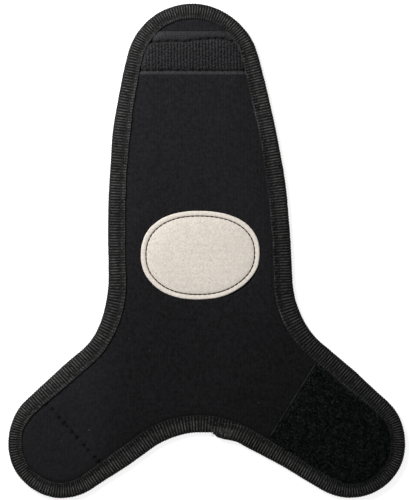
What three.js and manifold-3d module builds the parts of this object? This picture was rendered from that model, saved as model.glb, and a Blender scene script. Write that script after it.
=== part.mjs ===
import * as THREE from "three";
import { mergeVertices } from "three/addons/utils/BufferGeometryUtils.js";
import Module from "manifold-3d";

// A soft pad that wraps round the handlebar and stem of a small child's bicycle, laid flat with its front up:
// a foam panel with one tongue above and two arms below, a ribbed tape folded over its edge, a strip of hooks
// across the tongue, a patch of loops on one arm, a patch of hooks behind the other arm, and an oval badge.
// Millimetres. X runs to the right arm, Y up the tongue, Z out of the front face. The pattern is drawn about
// the middle of the badge, and the finished pad is moved so that its origin is under the middle of its outline.

// Outline: circles that the edge of the pad rolls round, outside the tips and inside the waists and notch
const TONGUE_X = -4;
const TONGUE_Y = 88.5;
const TONGUE_RADIUS = 32;
const LEFT_FLANK_RADIUS = 395;
const RIGHT_FLANK_RADIUS = 415;
const LEFT_WAIST_X = -88.5;
const LEFT_WAIST_Y = -13.5;
const LEFT_WAIST_RADIUS = 44.5;
const RIGHT_WAIST_X = 83;
const RIGHT_WAIST_Y = -12;
const RIGHT_WAIST_RADIUS = 39;
const LEFT_ARM_X = -66;
const LEFT_ARM_Y = -89.5;
const LEFT_ARM_RADIUS = 26.5;
const RIGHT_ARM_X = 72;
const RIGHT_ARM_Y = -89.5;
const RIGHT_ARM_RADIUS = 26.5;
const NOTCH_X = -0.5;
const NOTCH_Y = -126;
const NOTCH_RADIUS = 41;
const OUTLINE_STEP = 6;

// Foam panel, pressed thin where the tape grips it
const PANEL_THICKNESS = 3.6;
const SHOULDER = 2;
const EDGE_GAP = 0.3;
const RIM_BLUNTING = 0.7;

// Binding tape, folded over the edge, with its two ends lapped on the notch
const TAPE_WIDTH = 8.1;
const TAPE_THICKNESS = 0.6;
const SELVEDGE_WIDTH = 2.6;
const SELVEDGE_THICKNESS = 0.35;
const FOLD_ROUNDING = 1;
const RIB_PITCH = 1.34;
const RIBS_PER_RIDGE = 3;
const RIB_DEPTH = 0.2;
const LAP_LENGTH = 20;
const LAP_GAP = 0.15;
const LAP_RAMP = 6;
const LAP_NARROWING = 1.4;
const CUT_SLANT = 4;
const TAPE_END_FROM_NOTCH = 5;

// Sewing thread
const THREAD_WIDTH = 0.5;
const THREAD_HEIGHT = 0.25;
const TAPE_SEAM_INSET = 6;
const GROOVE_EASE = 0.3;

// Sewn-on strip and patches
const CLOTH_THICKNESS = 0.5;
const TUCK_INSET = 2.5;
const CUT_GAP = 0.3;
const HOOK_HEIGHT = 1;
const REAR_HOOK_HEIGHT = 0.6;
const HOOK_ROW_PITCH = 1.5;
const HOOK_ROW_TIP = 0.4;
const HOOK_ROW_DEPTH = 0.7;
const REAR_HOOK_ROW_DEPTH = 0.4;
const LOOP_HEIGHT = 1.2;

const HOOK_STRIP_FROM_TIP = 13;
const HOOK_STRIP_HEIGHT = 20.5;
const HOOK_STRIP_LOWER_SELVEDGE = 2.7;
const HOOK_STRIP_LOWER_SEAM = 1.8;
const HOOK_STRIP_UPPER_SELVEDGE = 5.6;
const HOOK_STRIP_UPPER_SEAM = 4.4;
const UPPER_SEAM_SLOPE = 0.02;

const LOOP_PATCH_LENGTH = 61;
const LOOP_PATCH_ANGLE = -32;
const REAR_PATCH_LENGTH = 34.5;
const REAR_PATCH_ANGLE = 221.5;
const PATCH_SELVEDGE = 2.6;
const PATCH_SEAM = 1.6;

// Badge
const BADGE_WIDTH = 57.4;
const BADGE_HEIGHT = 43;
const BADGE_FULLNESS = 2.3;
const BADGE_THICKNESS = 0.8;
const BADGE_ROUNDING = 0.3;
const BADGE_SEAM_INSET = 2.5;
const BADGE_SIDES = 60;

const FINISHES = {
  foam: { color: 0x212123, roughness: 0.9, metalness: 0 },
  tape: { color: 0x2c2b29, roughness: 0.75, metalness: 0 },
  hooks: { color: 0x2b2b2d, roughness: 0.6, metalness: 0 },
  loops: { color: 0x101212, roughness: 1, metalness: 0 },
  badge: { color: 0xd8d0c4, roughness: 0.8, metalness: 0 },
  thread: { color: 0x141416, roughness: 0.6, metalness: 0 },
  badgeThread: { color: 0x3a302a, roughness: 0.6, metalness: 0 },
};

const RIM_BOTTOM = TAPE_THICKNESS;
const RIM_TOP = PANEL_THICKNESS - TAPE_THICKNESS;
const FLAT_INSET = TAPE_WIDTH + SHOULDER;
const SELVEDGE_INSET = TAPE_WIDTH - SELVEDGE_WIDTH;
const LAP_RISE = TAPE_THICKNESS + LAP_GAP;
const HOOK_STRIP_TOP = TONGUE_Y + TONGUE_RADIUS - HOOK_STRIP_FROM_TIP;
const HOOK_STRIP_BOTTOM = HOOK_STRIP_TOP - HOOK_STRIP_HEIGHT;
const BADGE_TOP = PANEL_THICKNESS + BADGE_THICKNESS;
const FULL_TURN = 2 * Math.PI;
const NO_TURN = 1.9 * Math.PI;
const REACH = 300;

const wasm = await Module();
wasm.setup();

// Outline

// The large circle behind one side of the tongue: the tongue's circle lies inside it, a waist's outside.
function flankCircle(tongue, waist, radius, side) {
  const fromTongue = radius - tongue.radius;
  const fromWaist = radius - waist.radius;
  const dx = waist.x - tongue.x;
  const dy = waist.y - tongue.y;
  const apart = Math.hypot(dx, dy);
  const along = (fromTongue ** 2 - fromWaist ** 2 + apart ** 2) / (2 * apart);
  const across = side * Math.sqrt(Math.max(fromTongue ** 2 - along ** 2, 0));
  return {
    x: tongue.x + (dx * along - dy * across) / apart,
    y: tongue.y + (dy * along + dx * across) / apart,
    radius,
  };
}

// A negative radius marks a circle that lies outside the pad, in a waist or in the notch.
const tongueTip = { x: TONGUE_X, y: TONGUE_Y, radius: TONGUE_RADIUS };
const leftWaist = { x: LEFT_WAIST_X, y: LEFT_WAIST_Y, radius: -LEFT_WAIST_RADIUS };
const rightWaist = { x: RIGHT_WAIST_X, y: RIGHT_WAIST_Y, radius: -RIGHT_WAIST_RADIUS };
const leftArmTip = { x: LEFT_ARM_X, y: LEFT_ARM_Y, radius: LEFT_ARM_RADIUS };
const rightArmTip = { x: RIGHT_ARM_X, y: RIGHT_ARM_Y, radius: RIGHT_ARM_RADIUS };
const notch = { x: NOTCH_X, y: NOTCH_Y, radius: -NOTCH_RADIUS };
const CIRCLES = [
  tongueTip,
  flankCircle(tongueTip, leftWaist, LEFT_FLANK_RADIUS, 1),
  leftWaist,
  leftArmTip,
  notch,
  rightArmTip,
  rightWaist,
  flankCircle(tongueTip, rightWaist, RIGHT_FLANK_RADIUS, -1),
];

// The arcs and the straight lines between them, counter-clockwise, with their lengths along the tape's fold.
function outlinePieces(circles) {
  const normals = circles.map((here, i) => {
    const next = circles[(i + 1) % circles.length];
    const dx = next.x - here.x;
    const dy = next.y - here.y;
    const cosine = (here.radius - next.radius) / Math.hypot(dx, dy);
    return Math.atan2(dy, dx) - Math.acos(THREE.MathUtils.clamp(cosine, -1, 1));
  });
  return circles.flatMap((circle, i) => {
    const next = circles[(i + 1) % circles.length];
    const from = normals.at(i - 1);
    const to = normals[i];
    const sign = Math.sign(circle.radius);
    const turn = THREE.MathUtils.euclideanModulo((to - from) * sign, FULL_TURN);
    const sweep = turn > NO_TURN ? 0 : turn * sign;
    const x = circle.x + circle.radius * Math.cos(to);
    const y = circle.y + circle.radius * Math.sin(to);
    const run = Math.hypot(
      next.x + next.radius * Math.cos(to) - x,
      next.y + next.radius * Math.sin(to) - y,
    );
    return [
      { circle, from, sweep, length: sweep * (circle.radius - TAPE_THICKNESS) },
      { x, y, normal: to, length: run },
    ];
  });
}

const PIECES = outlinePieces(CIRCLES);
const EDGE_LENGTH = PIECES.reduce((sum, piece) => sum + piece.length, 0);

function middleOf(circle) {
  const index = PIECES.findIndex((piece) => piece.circle === circle);
  const before = PIECES.slice(0, index).reduce((sum, piece) => sum + piece.length, 0);
  return before + PIECES[index].length / 2;
}

const TAPE_START = middleOf(notch) + TAPE_END_FROM_NOTCH;

// The point of the pad's outer edge, and the way out there, at a distance along the tape from its cut end.
function edgeAt(distance) {
  let left = THREE.MathUtils.euclideanModulo(TAPE_START + distance, EDGE_LENGTH);
  let index = 0;
  while (index < PIECES.length - 1 && left > PIECES[index].length) {
    left -= PIECES[index].length;
    index++;
  }
  const piece = PIECES[index];
  const share = piece.length ? left / piece.length : 0;
  const angle = piece.circle ? piece.from + piece.sweep * share : piece.normal;
  const nx = Math.cos(angle);
  const ny = Math.sin(angle);
  if (piece.circle) {
    const { x, y, radius } = piece.circle;
    return { x: x + radius * nx, y: y + radius * ny, nx, ny };
  }
  return { x: piece.x - ny * left, y: piece.y + nx * left, nx, ny };
}

function insetPoint(distance, inset, z) {
  const { x, y, nx, ny } = edgeAt(distance);
  return [x - nx * inset, y - ny * inset, z];
}

const STEPS = Math.round(EDGE_LENGTH / OUTLINE_STEP);
const STEP = EDGE_LENGTH / STEPS;
const STATIONS = Array.from({ length: STEPS }, (_, i) => i * STEP);

function outlineRing(inset, height) {
  return STATIONS.map((distance) => insetPoint(distance, inset, height(distance)));
}

const level = (z) => () => z;

// 1 between two distances along the tape, falling to 0 over a ramp past each of them.
function ramped(distance, from, to) {
  const past = Math.max(from - distance, distance - to) / LAP_RAMP;
  return THREE.MathUtils.clamp(1 - past, 0, 1);
}

// Solids

function geometryOf(points, faces) {
  const geometry = new THREE.BufferGeometry();
  geometry.setAttribute("position", new THREE.Float32BufferAttribute(points.flat(), 3));
  geometry.setIndex(faces.flat());
  return geometry;
}

function asSolid(geometry) {
  const bare = geometry.clone();
  bare.deleteAttribute("normal");
  bare.deleteAttribute("uv");
  const merged = mergeVertices(bare, 1e-4);
  const mesh = new wasm.Mesh({
    numProp: 3,
    vertProperties: new Float32Array(merged.attributes.position.array),
    triVerts: new Uint32Array(merged.index.array),
  });
  return new wasm.Manifold(mesh);
}

function asGeometry(solid) {
  const mesh = solid.getMesh();
  const geometry = new THREE.BufferGeometry();
  geometry.setAttribute("position", new THREE.Float32BufferAttribute(mesh.vertProperties, mesh.numProp));
  geometry.setIndex(Array.from(mesh.triVerts));
  return geometry;
}

// The triangles over a flat outline, counter-clockwise whichever way the outline runs.
function flatFaces(outline) {
  return THREE.ShapeUtils.triangulateShape(outline.map(([x, y]) => new THREE.Vector2(x, y)), []);
}

const turnedOver = (faces) => faces.map(([a, b, c]) => [a, c, b]);

// A closed body through rings of equal count, from the underside out round the rim to the top.
function loft(rings) {
  const count = rings[0].length;
  const top = (rings.length - 1) * count;
  const faces = turnedOver(flatFaces(rings[0]));
  for (let base = 0; base < top; base += count) {
    for (let i = 0; i < count; i++) {
      const a = base + i;
      const b = base + ((i + 1) % count);
      faces.push([a, b, b + count], [a, b + count, a + count]);
    }
  }
  for (const [a, b, c] of flatFaces(rings.at(-1))) faces.push([top + a, top + b, top + c]);
  return geometryOf(rings.flat(), faces);
}

// The skin between neighbouring rails, which are lines of { at, index } with steps of their own.
function zip(rail, next) {
  const faces = [];
  let a = 0;
  let b = 0;
  while (a < rail.length - 1 || b < next.length - 1) {
    const railIsBehind = a < rail.length - 1 && rail[a + 1].at <= (next[b + 1]?.at ?? Infinity);
    if (railIsBehind) {
      faces.push([rail[a].index, next[b].index, rail[a + 1].index]);
      a++;
    } else {
      faces.push([rail[a].index, next[b].index, next[b + 1].index]);
      b++;
    }
  }
  return faces;
}

// The triangles over the starting end of a body of rails, which run clockwise round it seen from there.
function endFaces(corners) {
  const [x0, y0] = corners[0];
  const away = ([x, y]) => Math.hypot(x - x0, y - y0);
  const far = corners.reduce((best, corner) => (away(corner) > away(best) ? corner : best));
  const [dx, dy] = [(far[0] - x0) / away(far), (far[1] - y0) / away(far)];
  const flat = corners.map(([x, y, z]) => [(x - x0) * dx + (y - y0) * dy, z]);
  const faces = flatFaces(flat);
  const clockwise = THREE.ShapeUtils.isClockWise(flat.map(([x, y]) => new THREE.Vector2(x, y)));
  return clockwise ? faces : turnedOver(faces);
}

// A body whose skin is zipped between rails that run along it. closed joins its end to its start.
function railBody(rails, closed) {
  const points = [];
  const numbered = rails.map((rail) => rail.map(({ at, point }) => ({ at, index: points.push(point) - 1 })));
  const first = numbered.map((rail) => rail[0].index);
  const last = numbered.map((rail) => rail.at(-1).index);
  if (closed) numbered.forEach((rail, i) => rail.push({ at: Infinity, index: first[i] }));
  const faces = numbered.flatMap((rail, i) => zip(rail, numbered[(i + 1) % numbered.length]));
  if (!closed) {
    const start = endFaces(first.map((index) => points[index]));
    const end = turnedOver(endFaces(last.map((index) => points[index])));
    faces.push(...start.map((face) => face.map((corner) => first[corner])));
    faces.push(...end.map((face) => face.map((corner) => last[corner])));
  }
  return geometryOf(points, faces);
}

function prism(points, bottom = -REACH, top = REACH) {
  const shape = new THREE.Shape(points.map(([x, y]) => new THREE.Vector2(x, y)));
  const geometry = new THREE.ExtrudeGeometry(shape, { depth: top - bottom, bevelEnabled: false });
  return asSolid(geometry.translate(0, 0, bottom));
}

const within = (inset) => prism(outlineRing(inset, level(0)));

// Seams

function acrossTongue(bottom, top) {
  return prism([[-REACH, bottom], [REACH, bottom], [REACH, top], [-REACH, top]]);
}

// A straight cut across an arm, at a length back from its tip, and what lies past it towards the tip.
function armEnd(tip, degrees, length) {
  const angle = THREE.MathUtils.degToRad(degrees);
  const ux = Math.cos(angle);
  const uy = Math.sin(angle);
  const at = (out, along) => [
    tip.x + ux * (tip.radius - length + out) - uy * along,
    tip.y + uy * (tip.radius - length + out) + ux * along,
  ];
  const past = (out) => prism([at(out, -REACH), at(REACH, -REACH), at(REACH, REACH), at(out, REACH)]);
  return { at, past };
}

const loopArm = armEnd(rightArmTip, LOOP_PATCH_ANGLE, LOOP_PATCH_LENGTH);
const rearArm = armEnd(leftArmTip, REAR_PATCH_ANGLE, REAR_PATCH_LENGTH);

// Where a line through a point reaches the ends of the panel's flat, on both sides of the point.
function seamSpan([px, py], [qx, qy]) {
  const length = Math.hypot(qx - px, qy - py);
  const [dx, dy] = [(qx - px) / length, (qy - py) / length];
  const ring = outlineRing(FLAT_INSET + CUT_GAP, level(0));
  const crossings = ring.flatMap(([x0, y0], i) => {
    const [x1, y1] = ring[(i + 1) % ring.length];
    const a = (x0 - px) * dy - (y0 - py) * dx;
    const b = (x1 - px) * dy - (y1 - py) * dx;
    if (a * b > 0 || a === b) return [];
    const share = a / (a - b);
    return [(x0 + (x1 - x0) * share - px) * dx + (y0 + (y1 - y0) * share - py) * dy];
  });
  const after = Math.min(...crossings.filter((t) => t >= 0));
  const before = Math.max(...crossings.filter((t) => t < 0));
  return [[px + dx * before, py + dy * before], [px + dx * after, py + dy * after]];
}

function seamAcrossTongue(y, slope) {
  return seamSpan([TONGUE_X, y], [TONGUE_X + 1, y + slope]);
}

const STRIP_LOWER_SEAM = seamAcrossTongue(HOOK_STRIP_BOTTOM + HOOK_STRIP_LOWER_SEAM, 0);
const STRIP_UPPER_SEAM = seamAcrossTongue(HOOK_STRIP_TOP - HOOK_STRIP_UPPER_SEAM, UPPER_SEAM_SLOPE);
const LOOP_SEAM = seamSpan(loopArm.at(PATCH_SEAM, 0), loopArm.at(PATCH_SEAM, 1));
const REAR_SEAM = seamSpan(rearArm.at(PATCH_SEAM, 0), rearArm.at(PATCH_SEAM, 1));

// A groove in the back of the panel that the thread behind a seam is drawn into.
function groove([[x0, y0], [x1, y1]]) {
  const half = THREAD_WIDTH / 2 + GROOVE_EASE;
  const length = Math.hypot(x1 - x0, y1 - y0);
  const ex = ((x1 - x0) / length) * half;
  const ey = ((y1 - y0) / length) * half;
  const corners = [
    [x0 - ex + ey, y0 - ey - ex],
    [x1 + ex + ey, y1 + ey - ex],
    [x1 + ex - ey, y1 + ey + ex],
    [x0 - ex - ey, y0 - ey + ex],
  ];
  return prism(corners, -REACH, THREAD_HEIGHT);
}

// A point of the badge's oval, drawn in by an inset. A fullness above 2 makes it squarer than an ellipse.
function badgePoint(angle, inset) {
  const c = Math.cos(angle);
  const s = Math.sin(angle);
  const power = 2 / BADGE_FULLNESS;
  return [
    Math.sign(c) * Math.abs(c) ** power * (BADGE_WIDTH / 2 - inset),
    Math.sign(s) * Math.abs(s) ** power * (BADGE_HEIGHT / 2 - inset),
  ];
}

function badgeRing(inset, z) {
  return Array.from({ length: BADGE_SIDES }, (_, i) => [
    ...badgePoint((i * FULL_TURN) / BADGE_SIDES, inset),
    z,
  ]);
}

function badgeGroove() {
  const half = THREAD_WIDTH / 2 + GROOVE_EASE;
  const outer = prism(badgeRing(BADGE_SEAM_INSET - half, 0), -REACH, THREAD_HEIGHT);
  return outer.subtract(prism(badgeRing(BADGE_SEAM_INSET + half, 0)));
}

// Foam panel

// The tape's hidden end presses up into the foam, which gives way a little before the tape does.
function foamPress(distance) {
  const wide = (shift) => ramped(distance - shift, -LAP_RAMP, LAP_LENGTH + LAP_RAMP);
  return LAP_RISE * Math.max(wide(0), wide(EDGE_LENGTH));
}

// The whole form of the panel with its sewn-on cloth, raised or lowered.
function panelForm(rise = 0, shoulder = SHOULDER) {
  const tip = TAPE_THICKNESS + EDGE_GAP;
  const middle = PANEL_THICKNESS / 2;
  const half = (RIM_TOP - RIM_BOTTOM) / 2 - RIM_BLUNTING;
  const rings = [
    outlineRing(TAPE_WIDTH + shoulder, level(0)),
    outlineRing(TAPE_WIDTH, (distance) => RIM_BOTTOM + foamPress(distance)),
    outlineRing(tip + RIM_BLUNTING, (distance) => RIM_BOTTOM + foamPress(distance)),
    outlineRing(tip, (distance) => middle - half + foamPress(distance) / 2),
    outlineRing(tip, level(middle + half)),
    outlineRing(tip + RIM_BLUNTING, level(RIM_TOP)),
    outlineRing(TAPE_WIDTH, level(RIM_TOP)),
    outlineRing(TAPE_WIDTH + shoulder, level(PANEL_THICKNESS)),
  ];
  return asSolid(loft(rings).translate(0, 0, rise));
}

function foamPanel() {
  const tuck = within(TUCK_INSET - CUT_GAP);
  const floor = panelForm(-CLOTH_THICKNESS, SHOULDER + CUT_GAP);
  const stripPocket = acrossTongue(HOOK_STRIP_BOTTOM - CUT_GAP, HOOK_STRIP_TOP + CUT_GAP).intersect(tuck);
  const loopPocket = loopArm.past(-CUT_GAP).intersect(tuck);
  const rearPocket = rearArm.past(-CUT_GAP).intersect(tuck);
  const belowPlate = prism(outlineRing(0, level(0)), -REACH, RIM_BOTTOM + CLOTH_THICKNESS);
  return panelForm()
    .subtract(stripPocket.add(loopPocket).subtract(floor))
    .subtract(rearPocket.intersect(belowPlate))
    .subtract(groove(STRIP_LOWER_SEAM))
    .subtract(groove(STRIP_UPPER_SEAM))
    .subtract(groove(LOOP_SEAM))
    .subtract(badgeGroove());
}

// Sewn-on strip and patches

// A wide slab whose top is a comb of flat-topped rows. toPoint places a distance across the rows, and one
// along them, on the pad.
function comb(toPoint, halfWidth, bottom, roots, tips) {
  const rows = Math.ceil(halfWidth / HOOK_ROW_PITCH);
  const edge = (rows + 0.5) * HOOK_ROW_PITCH;
  const profile = [[-edge, bottom], [edge, bottom], [edge, roots]];
  for (let row = rows; row >= -rows; row--) {
    const tip = row * HOOK_ROW_PITCH;
    const root = tip - HOOK_ROW_PITCH / 2;
    profile.push([tip + HOOK_ROW_TIP / 2, tips], [tip - HOOK_ROW_TIP / 2, tips]);
    profile.push([root + HOOK_ROW_TIP / 2, roots]);
    if (row > -rows) profile.push([root - HOOK_ROW_TIP / 2, roots]);
  }
  profile.push([-edge, roots]);
  const shape = new THREE.Shape(profile.map(([across, z]) => new THREE.Vector2(across, z)));
  const geometry = new THREE.ExtrudeGeometry(shape, { depth: 2 * REACH, bevelEnabled: false });
  const position = geometry.attributes.position;
  for (let i = 0; i < position.count; i++) {
    const [x, y] = toPoint(position.getX(i), REACH - position.getZ(i));
    position.setXYZ(i, x, y, position.getY(i));
  }
  return asSolid(geometry);
}

// A cloth let into the front of the panel, its ends under the tape, with a pile standing on its open field.
function frontCloth(region, field, pile) {
  const ground = panelForm().intersect(region).intersect(within(TUCK_INSET));
  const standing = pile.intersect(field).intersect(within(TAPE_WIDTH + CUT_GAP));
  return ground.add(standing).subtract(panelForm(-CLOTH_THICKNESS));
}

function hookStrip() {
  const field = acrossTongue(
    HOOK_STRIP_BOTTOM + HOOK_STRIP_LOWER_SELVEDGE,
    HOOK_STRIP_TOP - HOOK_STRIP_UPPER_SELVEDGE,
  );
  const tips = PANEL_THICKNESS + HOOK_HEIGHT;
  const onTongue = (across, along) => [TONGUE_X + across, TONGUE_Y + along];
  const hooks = comb(onTongue, TONGUE_RADIUS, 0, tips - HOOK_ROW_DEPTH, tips);
  const pile = panelForm(HOOK_HEIGHT).intersect(hooks);
  return frontCloth(acrossTongue(HOOK_STRIP_BOTTOM, HOOK_STRIP_TOP), field, pile);
}

function loopPatch() {
  return frontCloth(loopArm.past(0), loopArm.past(PATCH_SELVEDGE), panelForm(LOOP_HEIGHT));
}

// The hooks behind the left arm stand in the thickness of the tape, so that the pad still lies flat.
function rearHookPatch() {
  const tuck = outlineRing(TUCK_INSET, level(0));
  const plate = prism(tuck, RIM_BOTTOM, RIM_BOTTOM + CLOTH_THICKNESS).intersect(rearArm.past(0));
  const field = rearArm.past(PATCH_SELVEDGE).intersect(within(TAPE_WIDTH + CUT_GAP));
  const pile = prism(tuck, RIM_BOTTOM - REAR_HOOK_HEIGHT, RIM_BOTTOM + CLOTH_THICKNESS / 2);
  const onArm = (across, along) => rearArm.at(REAR_PATCH_LENGTH / 2 + across, along);
  const tips = RIM_BOTTOM - REAR_HOOK_HEIGHT;
  const valleys = comb(onArm, REAR_PATCH_LENGTH, -REACH, tips, tips + REAR_HOOK_ROW_DEPTH);
  return plate.add(pile.intersect(field).subtract(valleys));
}

// Badge

function badge() {
  return loft([
    badgeRing(0, PANEL_THICKNESS),
    badgeRing(0, BADGE_TOP - BADGE_ROUNDING),
    badgeRing(BADGE_ROUNDING, BADGE_TOP),
  ]);
}

// Binding tape

// The tape starts as the outer layer of the lap and finishes as the inner one, under its own start.
const TAPE_LENGTH = EDGE_LENGTH + LAP_LENGTH;
const outerLap = (distance) => ramped(distance, 0, LAP_LENGTH);
const innerLap = (distance) => ramped(distance, EDGE_LENGTH, TAPE_LENGTH);

// side is 1 on the front half of the tape's section and -1 behind. flange is 1 on the flat of that half and
// less round the fold, and says how far the lap lifts or presses this part of it.
function tapePoint(distance, inset, z, side, flange) {
  const narrowing = side > 0 ? (LAP_NARROWING - LAP_RISE) * (inset / TAPE_WIDTH) : 0;
  const outward = outerLap(distance) * (LAP_RISE + narrowing);
  const up = side > 0 ? outerLap(distance) : innerLap(distance);
  return insetPoint(distance, inset - outward, z + LAP_RISE * flange * up);
}

// The cut end runs at a slant, from the open edge of the tape to its fold.
const cutAt = (inset) => CUT_SLANT * (1 - inset / TAPE_WIDTH);

function smoothRail(inset, z, side, flange) {
  const start = cutAt(inset);
  const marks = [start];
  for (let i = Math.ceil(start / STEP + 0.1); i * STEP < TAPE_LENGTH - 0.1; i++) marks.push(i * STEP);
  marks.push(TAPE_LENGTH);
  return marks.map((at) => ({ at, point: tapePoint(at, inset, z, side, flange) }));
}

// A rail over the ribs, from crest to hollow by turns. inward and upward say which way the hollows go.
function ribbedRail(inset, z, side, flange, inward, upward) {
  const start = cutAt(inset);
  const steps = 2 * Math.round(EDGE_LENGTH / (RIB_PITCH * RIBS_PER_RIDGE));
  return Array.from({ length: steps + 1 }, (_, i) => {
    const at = start + (i * (TAPE_LENGTH - start)) / steps;
    const hollow = i % 2 ? RIB_DEPTH : 0;
    return { at, point: tapePoint(at, inset + hollow * inward, z + hollow * upward, side, flange) };
  });
}

function halfBinding(side) {
  const face = side > 0 ? RIM_TOP : RIM_BOTTOM;
  const outside = face + side * TAPE_THICKNESS;
  const selvedge = face + side * SELVEDGE_THICKNESS;
  const insideFold = FOLD_ROUNDING - TAPE_THICKNESS / 2;
  return {
    outside: [
      smoothRail(TAPE_WIDTH, selvedge, side, 1),
      smoothRail(SELVEDGE_INSET, selvedge, side, 1),
      ribbedRail(SELVEDGE_INSET, outside, side, 1, 0, -side),
      ribbedRail(FOLD_ROUNDING, outside, side, 1, 0, -side),
      ribbedRail(0, outside - side * FOLD_ROUNDING, side, 0.5, 1, 0),
    ],
    inside: [
      smoothRail(TAPE_THICKNESS, face - side * insideFold, side, 0.5),
      smoothRail(TAPE_THICKNESS + insideFold, face, side, 1),
      smoothRail(TAPE_WIDTH, face, side, 1),
    ],
  };
}

function edgeBinding() {
  const front = halfBinding(1);
  const back = halfBinding(-1);
  const rails = [
    ...front.outside,
    ...back.outside.toReversed(),
    ...back.inside.toReversed(),
    ...front.inside,
  ];
  return railBody(rails, false);
}

// Thread

// A flat-bottomed thread through stations of { at, x, y, z, nx, ny }, standing up or hanging down.
function thread(stations, side, closed) {
  const rail = (across, up) =>
    stations.map(({ at, x, y, z, nx, ny }) => ({
      at,
      point: [x + nx * across, y + ny * across, z + side * up],
    }));
  const inner = rail(-THREAD_WIDTH / 2, 0);
  const crest = rail(0, THREAD_HEIGHT);
  const outer = rail(THREAD_WIDTH / 2, 0);
  return railBody(side > 0 ? [inner, crest, outer] : [outer, crest, inner], closed);
}

// The seam round the tape lies on its selvedge, beside the ribs, and climbs over the lap on the front.
function tapeThread(side) {
  const lap = (distance) => ramped(distance, 0, LAP_LENGTH + LAP_RAMP);
  const face = side > 0 ? RIM_TOP : RIM_BOTTOM;
  const stations = STATIONS.map((at) => {
    const lift = side > 0 ? LAP_RISE * Math.max(lap(at), lap(at - EDGE_LENGTH)) : 0;
    const [x, y, z] = insetPoint(at, TAPE_SEAM_INSET, face + side * SELVEDGE_THICKNESS + lift);
    return { at, x, y, z, nx: edgeAt(at).nx, ny: edgeAt(at).ny };
  });
  return thread(stations, side, true);
}

function straightThread([[x0, y0], [x1, y1]], z, side) {
  const length = Math.hypot(x1 - x0, y1 - y0);
  const nx = (y1 - y0) / length;
  const ny = (x0 - x1) / length;
  return thread([{ at: 0, x: x0, y: y0, z, nx, ny }, { at: 1, x: x1, y: y1, z, nx, ny }], side, false);
}

function badgeThread(z, side) {
  const stations = Array.from({ length: BADGE_SIDES }, (_, i) => {
    const angle = (i * FULL_TURN) / BADGE_SIDES;
    const [x, y] = badgePoint(angle, BADGE_SEAM_INSET);
    return { at: i, x, y, z, nx: Math.cos(angle), ny: Math.sin(angle) };
  });
  return thread(stations, side, true);
}

// Assembly

const pad = new THREE.Group();

function addPiece(name, geometry, finish) {
  const mesh = new THREE.Mesh(geometry, new THREE.MeshStandardMaterial(finish));
  mesh.name = name;
  pad.add(mesh);
}

// A seam through the panel is locked by two threads, one on its front and one behind.
function addStraightSeam(name, span, backFace) {
  addPiece(`${name}_needle_thread`, straightThread(span, PANEL_THICKNESS, 1), FINISHES.thread);
  addPiece(`${name}_bobbin_thread`, straightThread(span, backFace, -1), FINISHES.thread);
}

addPiece("foam_panel", asGeometry(foamPanel()), FINISHES.foam);
addPiece("edge_binding", edgeBinding(), FINISHES.tape);
addPiece("binding_needle_thread", tapeThread(1), FINISHES.thread);
addPiece("binding_bobbin_thread", tapeThread(-1), FINISHES.thread);
addPiece("hook_strip", asGeometry(hookStrip()), FINISHES.hooks);
addStraightSeam("hook_strip_lower", STRIP_LOWER_SEAM, THREAD_HEIGHT);
addStraightSeam("hook_strip_upper", STRIP_UPPER_SEAM, THREAD_HEIGHT);
addPiece("loop_patch", asGeometry(loopPatch()), FINISHES.loops);
addStraightSeam("loop_patch", LOOP_SEAM, THREAD_HEIGHT);
addPiece("rear_hook_patch", asGeometry(rearHookPatch()), FINISHES.hooks);
addStraightSeam("rear_patch", REAR_SEAM, RIM_BOTTOM);
addPiece("badge", badge(), FINISHES.badge);
addPiece("badge_needle_thread", badgeThread(BADGE_TOP, 1), FINISHES.badgeThread);
addPiece("badge_bobbin_thread", badgeThread(THREAD_HEIGHT, -1), FINISHES.thread);

const middle = new THREE.Box3().setFromObject(pad).getCenter(new THREE.Vector3());
pad.position.set(-middle.x, -middle.y, 0);

export default pad;
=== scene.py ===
import math

import bmesh
import bpy
import numpy as np
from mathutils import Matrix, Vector, noise
from mathutils.bvhtree import BVHTree
from mathutils.geometry import delaunay_2d_cdt
from mathutils.kdtree import KDTree


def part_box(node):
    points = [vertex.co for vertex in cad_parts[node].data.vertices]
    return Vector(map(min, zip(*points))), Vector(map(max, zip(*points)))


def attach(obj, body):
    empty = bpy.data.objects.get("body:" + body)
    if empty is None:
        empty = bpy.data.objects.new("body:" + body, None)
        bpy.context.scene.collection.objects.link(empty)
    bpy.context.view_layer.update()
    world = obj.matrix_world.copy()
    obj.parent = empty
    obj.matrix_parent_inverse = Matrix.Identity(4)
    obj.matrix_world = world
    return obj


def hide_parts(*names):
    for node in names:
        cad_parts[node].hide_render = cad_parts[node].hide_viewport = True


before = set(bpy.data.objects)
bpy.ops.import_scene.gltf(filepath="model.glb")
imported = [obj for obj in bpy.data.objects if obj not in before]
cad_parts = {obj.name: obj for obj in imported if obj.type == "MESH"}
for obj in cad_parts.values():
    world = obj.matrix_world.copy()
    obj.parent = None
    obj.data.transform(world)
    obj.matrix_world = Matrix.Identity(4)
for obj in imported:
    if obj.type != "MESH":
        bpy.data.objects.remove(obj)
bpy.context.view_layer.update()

# The pad's looks: crowned foam under knit cloth, ribbed tape with every rib, seams of separate stitches,
# hooks and loops as filaments, and a canvas badge. Lengths are millimetres in the pattern's own axes, about
# the middle of the badge, and the mesh helper turns them into the frame's metres.

BADGE_LOW, BADGE_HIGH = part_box("badge")
SHIFT_X = (BADGE_LOW.x + BADGE_HIGH.x) * 500
SHIFT_Y = (BADGE_LOW.y + BADGE_HIGH.y) * 500

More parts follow.
